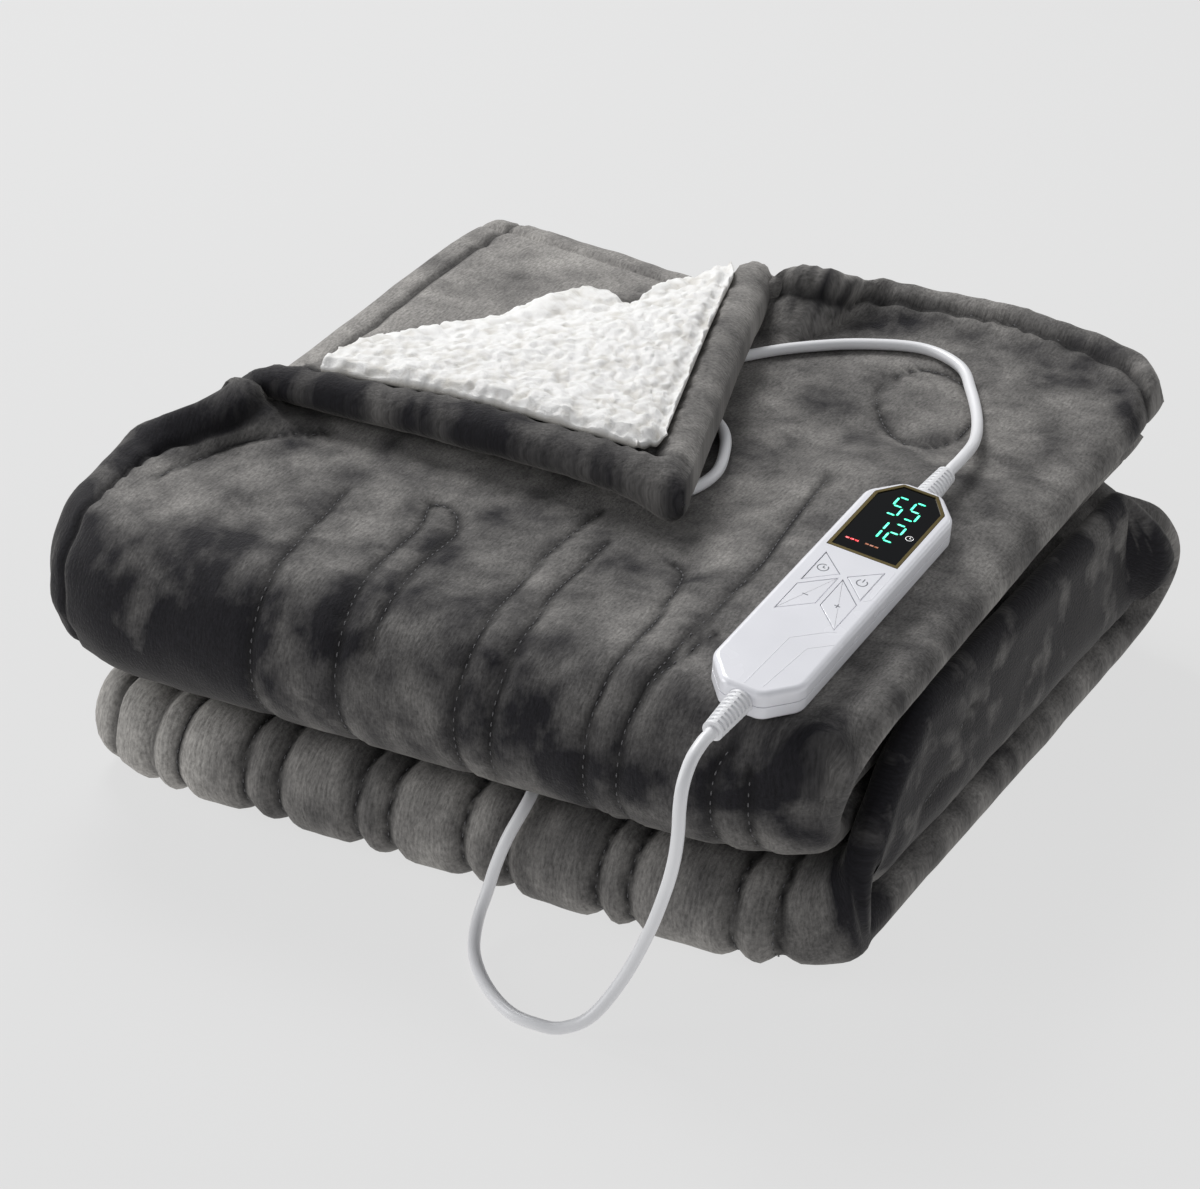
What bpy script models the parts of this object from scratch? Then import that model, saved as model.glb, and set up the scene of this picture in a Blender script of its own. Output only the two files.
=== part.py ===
"""Electric heated blanket, folded into a stack, with its hand controller and mains lead.

The blanket is one padded strip, folded back and forth into six plies. Its flat pattern has two
coordinates: across (x, left to right) and along (v, from the top hem towards the front and on
through every fold). fold() carries a point of the pattern to its place in the stack.
The controller is built in a frame of its own, whose Y runs along it towards the display.
Metres, +Z up, +Y to the back. The stack rests on z = 0.
"""
from collections import namedtuple
from math import cos, pi, radians, sin, sqrt

import bmesh
import bpy
from mathutils import Euler, Matrix, Vector

TOUCH = 0.0003           # gap left between pieces that touch

# ---------------------------------------------------------------- the folded cloth
# One row for each ply, top to bottom: the height of its middle, its thickness, and where its
# left and right edges lie at the front and at the back.
Ply = namedtuple("Ply", "level thick left_front left_back right_front right_back")
PLIES = {
    "top":     Ply(0.1395, 0.021, -0.244, -0.246, 0.217, 0.211),
    "second":  Ply(0.1180, 0.018, -0.240, -0.250, 0.197, 0.202),
    "third":   Ply(0.0960, 0.018, -0.232, -0.230, 0.196, 0.202),
    "fourth":  Ply(0.0750, 0.021, -0.232, -0.226, 0.197, 0.202),
    "fifth":   Ply(0.0440, 0.026, -0.216, -0.220, 0.214, 0.226),
    "bottom":  Ply(0.0130, 0.026, -0.214, -0.220, 0.209, 0.219),
}
# One row for each fold, in order along the strip from the top hem: the plies it joins, which
# way it faces, the depth (y) of its centre at the left and right edges, and how far its right
# end swells out, most at a share SWELL_AT of the way round.
Turn = namedtuple("Turn", "above_or_from to side y_left y_right swell")
TURNS = (
    Turn("top", "fourth", -1, -0.189, -0.168, 0.000),
    Turn("fourth", "fifth", 1, 0.165, 0.148, 0.010),
    Turn("fifth", "bottom", -1, -0.194, -0.171, 0.000),
    Turn("bottom", "third", 1, 0.176, 0.158, 0.026),
    Turn("third", "second", -1, -0.186, -0.165, 0.000),
)
SWELL_AT = 0.62
HALF_WIDTH = 0.230       # the width over which the folds' slant is measured
# the top ply's hem, left to right: (x, y) of its flat corner, the turned corner's fold line,
# the stretch behind it and the rounded right corner
TOP_HEM = ((-0.306, 0.232), (0.011, 0.187), (0.024, 0.221), (0.060, 0.231), (0.110, 0.240),
           (0.160, 0.230), (0.192, 0.218), (0.211, 0.196))
SECOND_HEM = (0.264, 0.190)   # depth of the second ply's hem at its left and right ends
SLANT_FADE = 0.16        # the top ply takes up its front fold's slant over this depth
CORNER_RECESS = 0.020    # how far each roll draws back at its ends
CORNER_REACH = 0.060     # over this width
CROWN = 0.0035           # how much the top ply rises at its middle
CROWN_SHARE = {"top": 1.0, "second": 0.65, "third": 0.3, "fourth": 0, "fifth": 0, "bottom": 0}
DROOP = 0.005            # how far the overhanging hems hang down
DROOP_FROM = 0.19
EDGE_BEND = -0.128       # behind this depth the top ply's left edge runs in to the fold line
# the left edge rises as it turns into the folded corner: place of the highest point, how much
# it rises there, and how far around that it does
RISE_AT = Vector((-0.236, -0.100))
EDGE_RISE = 0.015
RISE_REACH = 0.046

# hem and rim: distances in from an edge, and the stitched groove behind the hem
HEM_GROOVE = 0.0235
GROOVE_HALF = 0.0045
GROOVE_DEPTH = 0.32      # share of the thickness that the hem's stitching draws in
RIM_HALF = 0.0125
RIM_ROWS = (0.0, 0.0018, 0.0060, RIM_HALF, 0.0190, HEM_GROOVE, 0.0285)
FOLD_ROWS = (0.0, 0.0018, 0.0060, RIM_HALF)
INNER_COLUMNS = 12
THINNEST = 0.05          # share of the thickness left at the very edge

# the fifth ply's right edge turns up as a collar beside the plies above it
COLLAR_BEND = 0.021      # radius of the ply's middle
COLLAR_FRONT, COLLAR_BACK = 0.187, 0.197   # where the bend starts
COLLAR_RISE = 0.061      # straight height above the bend
COLLAR_LEAD = 0.032      # it starts to rise this far round the folds at its ends
COLLAR_FADE = 0.044      # and is up after this depth
COLLAR_THICK = 0.66      # share of the ply's thickness at the collar's top
COLLAR_CUTS = 5

# the top ply's back left corner is turned over: its fold line from the left hem to the back
# hem, the flat corner, and where the corner's tip comes to lie
FOLD_LEFT = Vector((-0.208, -0.080))
FOLD_BACK = Vector(TOP_HEM[1])
FLAT_CORNER = Vector(TOP_HEM[0])
TIP = Vector((0.066, -0.076))
FLAP_THICK = 0.80        # share of the top ply's thickness
FLAP_GAP_LEFT, FLAP_GAP_BACK = 0.0030, 0.0115  # clear space under the flap at the line's ends
HEM_PUFF = 1.12          # the top ply's hem is this much thicker than the ply
FLAP_CUTS = 7

# quilting: rows of stitching that draw the padding in; x at the lower roll
LOWER_SEAMS = ((-0.176, -0.160), (-0.115, -0.097), (-0.048, -0.028), (0.012, 0.037),
               (0.087, 0.105), (0.160, 0.178))
SEAM_HALF = 0.010
SEAM_DEPTH = 0.22
SEAM_LEAD = 0.030        # they run on this far over the lower roll's top, and this far under it
SEAM_TAIL = 0.012
# rows over the upper roll: pattern (x, v) where each starts on top and ends at the front
UPPER_SEAMS = (
    ((-0.130, -0.085), (-0.126, -0.215)),
    ((-0.075, -0.080), (-0.078, -0.230)),
    ((-0.006, -0.080), (-0.010, -0.235)),
    ((0.050, -0.100), (0.052, -0.240)),
    ((0.110, -0.060), (0.106, -0.235)),
)
UPPER_HALF = 0.009
UPPER_DEPTH = 0.12

# ---------------------------------------------------------------- the sherpa lining
LINING_THICK = 0.0065
LINING_CLEAR = 0.0007    # between it and the flannel
LINING_INSET = 0.0265    # its edge lies this far inside the hem
LINING_START = 3         # the first of the flannel's rows in the bend that it covers
LINING_ROWS, LINING_COLUMNS = 9, 10
LINING_POINT = 0.012     # width left at its tip
LINING_RIM = 0.006

# ---------------------------------------------------------------- the hand controller
CONTROL_LENGTH = 0.190
CONTROL_WIDTH = 0.048
CONTROL_THICK = 0.0160
CONTROL_END = 0.0105     # half width of the end faces
CONTROL_SLANT = 0.0160   # length along the controller of its slanted corners
CONTROL_AT = Vector((0.1585, -0.0990, 0.1530))    # middle of its underside
CONTROL_TURN = Euler((radians(3.2), radians(5.0), radians(-0.5)))
CONTROL_FRAME = Matrix.Translation(CONTROL_AT) @ CONTROL_TURN.to_matrix().to_4x4()
# the cloth takes the underside's slope beneath it: the depths and widths where that starts to
# fade and where it has gone
BED_FRONT, BED_FRONT_END = -0.183, -0.195
BED_BACK, BED_BACK_END = 0.012, 0.075
BED_LEFT, BED_LEFT_END = 0.128, 0.070
BED_RIGHT, BED_RIGHT_END = 0.192, 0.214

SHELL_SPLIT = 0.0078
SHELL_WALL = 0.0020
SHELL_TOP = 0.0030
SHELL_ROUND = 0.0016
WINDOW_FRONT = 0.0272    # the display window's front edge
WINDOW_SIDE = 0.0182     # half its width
WINDOW_END = 0.0090      # half the width of its far end
WINDOW_SLANT = 0.0788    # where its slanted corners start
WINDOW_BACK = 0.0912
WINDOW_THICK = 0.0016
KEY_GAP = 0.0004
KEY_LIP = 0.0009         # a flange under each key keeps it in the shell
LIP_THICK = 0.0008
# key faces, each an outline in the controller's own x and y
KEY_OUTLINES = {
    "key_timer": ((-0.0022, 0.0073), (-0.0156, 0.0194), (-0.0156, -0.0060)),
    "key_power": ((0.0022, 0.0073), (0.0156, -0.0060), (0.0156, 0.0194)),
    "key_minus": ((-0.0014, 0.0037), (-0.0156, -0.0103), (-0.0156, -0.0330), (-0.0014, -0.0195)),
    "key_plus": ((0.0014, 0.0037), (0.0014, -0.0195), (0.0156, -0.0330), (0.0156, -0.0103)),
}

# ---------------------------------------------------------------- cords, coil and plug
CORD = 0.0062            # diameter
CORD_STEP = 0.0150       # between the points of a cord's tube
CORD_SQUARE = 0.0035     # its ends are straight over this length
STRAIGHT = (0, 0.004, 0.009)   # places along the axis of what a cord comes out of
CLOTH_MARGIN = 0.0005    # a cord on the cloth lies this far above it
RELIEF_LENGTH = 0.026
RELIEF_WIDE, RELIEF_NARROW = 0.0064, 0.0052   # radii
RELIEF_RIBS = 8
RELIEF_GROOVE = 0.0008
RELIEF_SIDES = 12

CONNECTOR_SIZE = (0.036, 0.022, 0.0085)       # along the cord, across it, height
CONNECTOR_ROUND = 0.003
CONNECTOR_AT = (-0.0315, 0.0405)

# places (x, y) on the top ply along the cord from the controller to the connector; the first
# rows are up in the air, (x, y, height), where it comes down from the controller
CONTROL_DROP = ((0.160, 0.043, 0.1667), (0.154, 0.073, 0.1605), (0.142, 0.104, 0.1558))
CONTROL_LIE = ((0.126, 0.132), (0.109, 0.155), (0.083, 0.164), (0.052, 0.152), (0.026, 0.132),
               (0.008, 0.112), (-0.004, 0.092), (-0.005, 0.072), (0.004, 0.053), (0.020, 0.038),
               (0.035, 0.024), (0.045, 0.005), (0.051, -0.016), (0.048, -0.036), (0.038, -0.048),
               (0.024, -0.052), (0.010, -0.048), (-0.001, -0.037), (-0.006, -0.021),
               (-0.012, -0.003))
# places (x, y, z) of the mains lead: over the front, on the floor, up between the two rolls,
# through the stack, out at its left side and down to the coil behind it
FLOOR = CORD / 2 + 0.0002
GAP_HEIGHT = 0.0607      # middle of the space between the fourth and the fifth ply
MAINS_FRONT = ((0.1577, -0.2408, 0.1507), (0.1580, -0.2490, 0.1425), (0.1580, -0.2520, 0.1312),
               (0.1572, -0.2515, 0.1170), (0.1545, -0.2498, 0.1000), (0.1495, -0.2485, 0.0800),
               (0.1422, -0.2510, 0.0550), (0.133, -0.259, 0.030),
               (0.122, -0.269, 0.011), (0.109, -0.275, FLOOR), (0.097, -0.278, FLOOR),
               (0.084, -0.277, FLOOR), (0.070, -0.270, FLOOR), (0.055, -0.258, FLOOR),
               (0.043, -0.244, 0.0045), (0.037, -0.230, 0.011), (0.0365, -0.220, 0.021),
               (0.038, -0.2145, 0.033), (0.041, -0.208, 0.0465), (0.0435, -0.197, 0.0570),
               (0.0415, -0.183, GAP_HEIGHT))
MAINS_INSIDE = ((0.030, -0.150), (0.005, -0.115), (-0.035, -0.085), (-0.080, -0.060),
                (-0.130, -0.035), (-0.180, -0.005), (-0.215, 0.020))
MAINS_BACK = ((-0.240, 0.042, 0.0600), (-0.261, 0.070, 0.0510), (-0.273, 0.100, 0.0340),
              (-0.276, 0.130, 0.0160), (-0.271, 0.160, 0.0060), (-0.262, 0.190, FLOOR),
              (-0.243, 0.222, FLOOR), (-0.213, 0.245, FLOOR))

COIL_AT = (-0.150, 0.290)
COIL_INNER, COIL_OUTER = 0.0278, 0.0402
COIL_LOW, COIL_HIGH = 0.0015, 0.0201
COIL_ROUND = 0.0026
COIL_SIDES = 32
COIL_LEAD_X = 0.0222     # the lead and the tail meet the coil this far to its sides
TIE_WIDTH = 0.009
TIE_THICK = 0.0012
TIE_SIDE = 0.0009        # room beside the coil, which curves behind the tie

PLUG_LENGTH = 0.036
PLUG_WIDTH = 0.035
PLUG_NECK = 0.012        # width where the cord goes in
PLUG_SHOULDER = 0.016    # where it has its full width
PLUG_THICK = 0.0137
PLUG_ROUND = 0.0025
PLUG_X = -0.1150         # the end where the cord goes in
PIN_RADIUS = 0.0020
PIN_LENGTH = 0.019
PIN_SPACING = 0.0186
PIN_SIDES = 12


# ---------------------------------------------------------------- small helpers
def drop_everything():
    """Empty the scene without closing the file that this script runs from."""
    for thing in list(bpy.data.objects):
        bpy.data.objects.remove(thing, do_unlink=True)


def new_collection(name):
    group = bpy.data.collections.new(name)
    bpy.context.scene.collection.children.link(group)
    return group


def plain(name, colour, roughness, metallic=0.0):
    """A Principled material in one colour."""
    made = bpy.data.materials.new(name)
    made.use_nodes = True
    shader = made.node_tree.nodes["Principled BSDF"]
    shader.inputs["Base Color"].default_value = (*colour, 1)
    shader.inputs["Roughness"].default_value = roughness
    shader.inputs["Metallic"].default_value = metallic
    return made


def add_object(name, data, group, material=None):
    made = bpy.data.objects.new(name, data)
    group.objects.link(made)
    if material:
        data.materials.append(material)
    return made


def mix(a, b, share):
    return a + (b - a) * share


def ease(share):
    """0 to 1 with a soft start and a soft end."""
    share = min(1.0, max(0.0, share))
    return share * share * (3 - 2 * share)


def fade(value, whole, gone):
    """1 up to a first limit and 0 from a second one on, whichever of them is larger."""
    return ease((gone - value) / (gone - whole))


# ---------------------------------------------------------------- the strip's path
def across_share(x):
    return 0.5 + 0.5 * x / HALF_WIDTH


def turn_centre(turn, x):
    """Depth of a fold's centre line at x; a roll at the front draws back at its ends."""
    centre = mix(turn.y_left, turn.y_right, across_share(x))
    ply = PLIES[turn.to]
    near_end = min(x - ply.left_front, ply.right_front - x)
    short = max(0.0, 1 - max(0.0, near_end) / CORNER_REACH)
    return centre - turn.side * CORNER_RECESS * short ** 2


def turn_radius(turn):
    return abs(PLIES[turn.above_or_from].level - PLIES[turn.to].level) / 2


TOP_START = (TURNS[0].y_left + TURNS[0].y_right) / 2     # v where the top ply meets its roll


def lay_out():
    """The pattern's stretches in order, each with the v where it starts and ends."""
    stretches = []
    v = TOP_START
    for number, turn in enumerate(TURNS):
        length = pi * turn_radius(turn)
        stretches.append(("turn", number, v, v - length))
        v -= length
        if number + 1 < len(TURNS):
            span = abs(turn_centre(TURNS[number + 1], 0) - turn_centre(turn, 0))
        else:
            span = abs(mix(*SECOND_HEM, 0.5) - turn_centre(turn, 0))
        stretches.append(("ply", number, v, v - span))
        v -= span
    return stretches


STRETCHES = lay_out()
UPPER = STRETCHES[0]
LOWER = next(row for row in STRETCHES if row[0] == "turn" and TURNS[row[1]].to == "bottom")
FIFTH = next(row for row in STRETCHES if row[0] == "ply" and TURNS[row[1]].to == "fifth")
COLLAR_FROM, COLLAR_TO = FIFTH[2] + COLLAR_LEAD, FIFTH[3] - COLLAR_LEAD


def stretch_at(v):
    for row in STRETCHES:
        if v >= row[3] - 1e-9:
            return row
    return STRETCHES[-1]


def ply_edges(name, depth):
    """Left and right edges of a ply at a depth, from the front (-0.2) to the back (0.2)."""
    ply = PLIES[name]
    share = min(1.3, max(0.0, (depth + 0.2) / 0.4))
    left = mix(ply.left_front, ply.left_back, share)
    if name == "top" and depth > FOLD_LEFT.y:
        left = mix(FOLD_LEFT.x, FLAT_CORNER.x, (depth - FOLD_LEFT.y) / (FLAT_CORNER.y - FOLD_LEFT.y))
    elif name == "top" and depth > EDGE_BEND:
        left = mix(left, FOLD_LEFT.x, ease((depth - EDGE_BEND) / (FOLD_LEFT.y - EDGE_BEND)))
    return left, mix(ply.right_front, ply.right_back, share)


def edges_at(v):
    """Left and right edges of the pattern at v, without the collar."""
    if v >= TOP_START:
        return ply_edges("top", v)
    kind, number, start, end = stretch_at(v)
    turn = TURNS[number]
    share = (start - v) / (start - end)
    here = turn_centre(turn, 0)
    if kind == "turn":
        first = ply_edges(turn.above_or_from, here)
        last = ply_edges(turn.to, here)
        left, right = (mix(a, b, ease(share)) for a, b in zip(first, last))
        return left, right + turn.swell * fade(abs(share - SWELL_AT), 0.0, SWELL_AT)
    there = turn_centre(TURNS[number + 1], 0) if number + 1 < len(TURNS) else 0.2
    return ply_edges(turn.to, mix(here, there, share))


def collar_share(v):
    """How far the collar has turned up at v: 0 at both ends, 1 between."""
    return ease((COLLAR_FROM - v) / COLLAR_FADE) * ease((v - COLLAR_TO) / COLLAR_FADE)


def collar_start(v):
    share = (FIFTH[2] - v) / (FIFTH[2] - FIFTH[3])
    return mix(COLLAR_BACK, COLLAR_FRONT, min(1.0, max(0.0, share)))


def right_edge(v):
    """Right edge of the pattern, collar included."""
    full = collar_start(v) + COLLAR_BEND * pi / 2 + COLLAR_RISE
    return mix(edges_at(v)[1], full, collar_share(v))


def hem_depth(hem, x):
    return mix(hem[0], hem[1], across_share(x))


def top_hem(x):
    """Depth of the top hem at x, along its table of places."""
    for (x0, y0), (x1, y1) in zip(TOP_HEM, TOP_HEM[1:]):
        if x <= x1:
            return mix(y0, y1, (x - x0) / (x1 - x0))
    return TOP_HEM[-1][1]


def profile(x, v):
    """Depth, height and thickness of the strip's middle, its plies and the share from one to
    the other, at a point of the pattern."""
    if v >= TOP_START:
        shift = turn_centre(TURNS[0], x) - TOP_START
        near = ease(1 - (v - TOP_START) / SLANT_FADE)
        return v + shift * near, PLIES["top"].level, PLIES["top"].thick, "top", "top", 0.0
    kind, number, start, end = stretch_at(v)
    turn = TURNS[number]
    first, last = PLIES[turn.above_or_from], PLIES[turn.to]
    share = (start - v) / (start - end)
    centre = turn_centre(turn, x)
    if kind == "turn":
        angle = pi * share
        radius = turn_radius(turn)
        down = 1 if first.level > last.level else -1
        depth = centre + turn.side * radius * sin(angle)
        height = (first.level + last.level) / 2 + down * radius * cos(angle)
        thick = mix(first.thick, last.thick, ease(share))
        return depth, height, thick, turn.above_or_from, turn.to, share
    if number + 1 < len(TURNS):
        target = turn_centre(TURNS[number + 1], x)
    else:
        target = hem_depth(SECOND_HEM, x)
    return mix(centre, target, share), last.level, last.thick, turn.to, turn.to, 1.0


def crown(x, y):
    """How far the stack's middle rises."""
    return CROWN * max(0.0, 1 - (x / 0.24) ** 2) * max(0.0, 1 - (y / 0.23) ** 2)


def droop(y):
    """How far a hem hangs down behind the stack."""
    return DROOP * max(0.0, (y - DROOP_FROM) / 0.06) ** 2


def bed_height(x, y):
    """Height of the controller's underside, less the gap."""
    normal = CONTROL_FRAME.to_3x3() @ Vector((0, 0, 1))
    away = Vector((x, y)) - CONTROL_AT.xy
    return CONTROL_AT.z - (normal.x * away.x + normal.y * away.y) / normal.z - TOUCH


def bed_rise(x, y, surface):
    """How far the cloth rises or sinks to lie against the controller."""
    share = fade(x, BED_RIGHT, BED_RIGHT_END) * fade(-x, -BED_LEFT, -BED_LEFT_END)
    share *= fade(y, BED_BACK, BED_BACK_END) * fade(-y, -BED_FRONT, -BED_FRONT_END)
    return share * (bed_height(x, y) - surface)


# ---------------------------------------------------------------- the turned corner
LINE = (FOLD_BACK - FOLD_LEFT).normalized()
BEYOND = Vector((-LINE.y, LINE.x))
LINE_LENGTH = (FOLD_BACK - FOLD_LEFT).length
CORNER_FAR = (FLAT_CORNER - FOLD_LEFT).dot(BEYOND)
CORNER_ALONG = (FLAT_CORNER - FOLD_LEFT).dot(LINE)


def flap_radius(share):
    """Radius of the bend at a share of the fold line, from the left hem to the back hem."""
    space = mix(FLAP_GAP_LEFT, FLAP_GAP_BACK, ease(share))
    thick = PLIES["top"].thick
    return (thick / 2 + FLAP_THICK * thick / 2 + space) / 2


def line_distance(x, y):
    return (Vector((x, y)) - FOLD_LEFT).dot(BEYOND)


def turn_corner(x, y):
    """Where a flat point beyond the fold line goes: new x, new y and the rise."""
    far = line_distance(x, y)
    if far <= 0:
        return x, y, 0.0
    tip = TIP - FOLD_LEFT
    share = far / CORNER_FAR
    along = (Vector((x, y)) - FOLD_LEFT).dot(LINE) - share * CORNER_ALONG
    line_share = min(1.0, max(0.0, along / (LINE_LENGTH * (1 - share) + 1e-6)))
    radius = flap_radius(mix(line_share, 1.0, share))
    reach = share * (pi * radius - tip.dot(BEYOND))
    new_along = along + share * tip.dot(LINE)
    if reach < pi * radius:
        offset, rise = radius * sin(reach / radius), radius * (1 - cos(reach / radius))
    else:
        offset, rise = pi * radius - reach, 2 * radius
    place = FOLD_LEFT + LINE * new_along + BEYOND * offset
    return place.x, place.y, rise


def collar_place(x, v):
    """How the fifth ply's right edge turns up: new x and the rise."""
    share = collar_share(v)
    start = collar_start(v)
    past = x - start
    if share == 0 or past <= 0:
        return x, 0.0
    full = share * pi / 2
    angle = min(full, past / COLLAR_BEND)
    straight = max(0.0, past - COLLAR_BEND * full)
    new_x = start + COLLAR_BEND * sin(angle) + straight * cos(full)
    return new_x, COLLAR_BEND * (1 - cos(angle)) + straight * sin(full)


def fold(x, v):
    """Place of a pattern point on the strip's middle surface."""
    depth, height, thick, first, last, share = profile(x, v)
    rise = 0.0
    new_x = x
    if v >= TOP_START:
        height += EDGE_RISE * fade((Vector((x, depth)) - RISE_AT).length, 0.0, RISE_REACH)
        new_x, depth, rise = turn_corner(x, depth)
    elif COLLAR_TO <= v <= COLLAR_FROM:
        new_x, rise = collar_place(x, v)
    raised = mix(CROWN_SHARE[first], CROWN_SHARE[last], ease(share))
    height += raised * crown(new_x, depth) - (droop(depth) if raised > 0.5 else 0.0)
    in_upper = v >= UPPER[3] and share < 0.4
    if in_upper:
        height += bed_rise(new_x, depth, height + thick / 2)
    elif last == "second" and share > 0.6:
        below = (PLIES["top"].thick + PLIES["second"].thick) / 2
        height += bed_rise(new_x, depth, height + below + thick / 2)
    return Vector((new_x, depth, height + rise))


def top_surface(x, y):
    """Height of the top ply's upper face."""
    surface = PLIES["top"].level + PLIES["top"].thick / 2 + crown(x, y) - droop(y)
    return surface + bed_rise(x, y, surface)


# ---------------------------------------------------------------- thickness of the padding
def rounded_rim(distance, half):
    """Share of the thickness that a round edge leaves at a distance from it."""
    inner = 1 - min(distance, half) / half
    return max(THINNEST, sqrt(max(0.0, 1 - inner * inner)))


def groove(distance, half, depth):
    return 1 - depth * (1 - ease(abs(distance) / half))


def seam_distance(x, v, start, end):
    """Distance of a pattern point from a straight row of stitching."""
    a, b, p = Vector(start), Vector(end), Vector((x, v))
    along = min(1.0, max(0.0, (p - a).dot(b - a) / (b - a).length_squared))
    return (p - a - (b - a) * along).length


def edge_distances(x, v):
    left = x - edges_at(v)[0]
    right = right_edge(v) - x
    top = top_hem(x) - v
    second = (hem_depth(SECOND_HEM, x) - profile(x, v)[0]) if v < STRETCHES[-1][2] else 1.0
    return left, right, top, second


def thickness(x, v):
    """Thickness of the padded cloth at a point of the pattern."""
    thick = profile(x, v)[2]
    left, right, top, second = edge_distances(x, v)
    share = rounded_rim(left, RIM_HALF) * rounded_rim(right, RIM_HALF)
    share *= rounded_rim(top, RIM_HALF) * rounded_rim(second, RIM_HALF)
    for distance in (left, top, second):
        share *= groove(distance - HEM_GROOVE, GROOVE_HALF, GROOVE_DEPTH)
    if v >= TOP_START:
        in_hem = max(ease((HEM_GROOVE - left) / 0.008), ease((HEM_GROOVE - top) / 0.008))
        turned = ease(line_distance(x, v) / 0.02 + 1)
        puff = mix(1.0, HEM_PUFF, max(turned, top < 0.03))
        share *= mix(mix(1.0, FLAP_THICK, turned), puff, in_hem)
    if v > UPPER[3]:
        for start, end in UPPER_SEAMS:
            share *= groove(seam_distance(x, v, start, end), UPPER_HALF, UPPER_DEPTH)
    if COLLAR_TO < v < COLLAR_FROM:
        past = x - collar_start(v)
        share *= mix(1.0, COLLAR_THICK, ease(past / 0.03) * collar_share(v))
    in_roll = ease((LOWER[2] - v + SEAM_LEAD) / 0.02) * ease((v - LOWER[3] + SEAM_TAIL) / 0.02)
    if in_roll > 0:
        for pair in LOWER_SEAMS:
            for seam in pair:
                share *= groove(x - seam, SEAM_HALF, SEAM_DEPTH * in_roll)
    return thick * share


# ---------------------------------------------------------------- building the cloth
def pattern_rows():
    """The rows of the pattern's grid, each as its kind and a value for row_v."""
    rows = [("top", d) for d in RIM_ROWS]
    plain_rows = 10
    rows += [("run", step / plain_rows) for step in range(1, plain_rows + 1)]
    counts = {("turn", 0): 10, ("turn", 1): 6, ("turn", 2): 8, ("turn", 3): 8, ("turn", 4): 6,
              ("ply", 0): 3, ("ply", 1): 6, ("ply", 2): 4, ("ply", 3): 3}
    for kind, number, start, end in STRETCHES[:-1]:
        count = counts[kind, number]
        rows += [("v", mix(start, end, step / count)) for step in range(1, count + 1)]
    last_rows = 5
    rows += [("last", step / last_rows) for step in range(1, last_rows)]
    rows += [("end", d) for d in reversed(RIM_ROWS)]
    return rows


def row_v(row, x):
    kind, value = row
    if kind == "top":
        return top_hem(x) - value
    if kind == "run":
        return mix(top_hem(x) - RIM_ROWS[-1], TOP_START, value)
    if kind == "v":
        return value
    start, end = STRETCHES[-1][2:]
    centre = turn_centre(TURNS[-1], x)
    reach = hem_depth(SECOND_HEM, x) - centre
    if kind == "last":
        return start - (start - end) * value * (reach - RIM_ROWS[-1]) / reach
    return start - (start - end) * (reach - value) / reach


def column_x(number, v):
    """x of a grid column at v: close rows at the edges, even ones between."""
    left, right = edges_at(v)[0], right_edge(v)
    rims, folds = len(RIM_ROWS), len(FOLD_ROWS)
    if number < rims:
        return left + RIM_ROWS[number]
    if number < rims + INNER_COLUMNS - 1:
        share = (number - rims + 1) / INNER_COLUMNS
        return mix(left + RIM_ROWS[-1], right - FOLD_ROWS[-1], share)
    return right - FOLD_ROWS[rims + INNER_COLUMNS - 2 + folds - number]


def cut(mesh, faces, point, normal):
    """Cut the given faces along a line of the pattern."""
    parts = list({e for f in faces for e in f.edges}) + list(faces)
    parts += list({v for f in faces for v in f.verts})
    bmesh.ops.bisect_plane(mesh, geom=parts, plane_co=(*point, 0), plane_no=(*normal, 0), dist=1e-6)


def faces_between(mesh, low, high, test=None):
    """Faces of the pattern whose middle has a v between two limits."""
    found = []
    for face in mesh.faces:
        middle = face.calc_center_median()
        if low <= middle.y <= high and (test is None or test(middle)):
            found.append(face)
    return found


def cut_pattern(mesh):
    """Extra cuts where the corner turns over, at the collar, under the controller and along
    the stitching."""
    bend = pi * flap_radius(1.0)
    for step in range(FLAP_CUTS + 1):
        place = FOLD_LEFT + BEYOND * (bend * step / FLAP_CUTS)
        near = faces_between(mesh, TOP_START, 1.0, lambda m: -0.06 < line_distance(m.x, m.y) < 0.12)
        cut(mesh, near, place, BEYOND)
    for step in range(COLLAR_CUTS + 1):
        place = (mix(COLLAR_FRONT, COLLAR_BACK, 0.5) + COLLAR_BEND * pi / 2 * step / COLLAR_CUTS, 0)
        near = faces_between(mesh, COLLAR_TO, COLLAR_FROM, lambda m: m.x > 0.16)
        cut(mesh, near, place, (1, 0))
    for edge in (BED_LEFT, BED_RIGHT, mix(BED_RIGHT, BED_RIGHT_END, 0.5)):
        near = faces_between(mesh, TOP_START - 0.03, BED_BACK_END, lambda m: m.x > BED_LEFT_END)
        cut(mesh, near, (edge, 0), (1, 0))
    for edge in (BED_BACK, mix(BED_BACK, BED_BACK_END, 0.5)):
        near = faces_between(mesh, -0.05, 0.11, lambda m: m.x > BED_LEFT_END)
        cut(mesh, near, (0, edge), (0, 1))
    for pair in LOWER_SEAMS:
        for seam in (*pair, sum(pair) / 2):
            near = faces_between(mesh, LOWER[3] - SEAM_TAIL, LOWER[2] + SEAM_LEAD)
            cut(mesh, near, (seam, 0), (1, 0))
    for start, end in UPPER_SEAMS:
        a, b = Vector(start), Vector(end)
        side = Vector((b.y - a.y, a.x - b.x)).normalized()
        near = faces_between(mesh, b.y - 0.01, a.y + 0.01, lambda m: abs((m.xy - a).dot(side)) < 0.04)
        cut(mesh, near, a, side)


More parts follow.
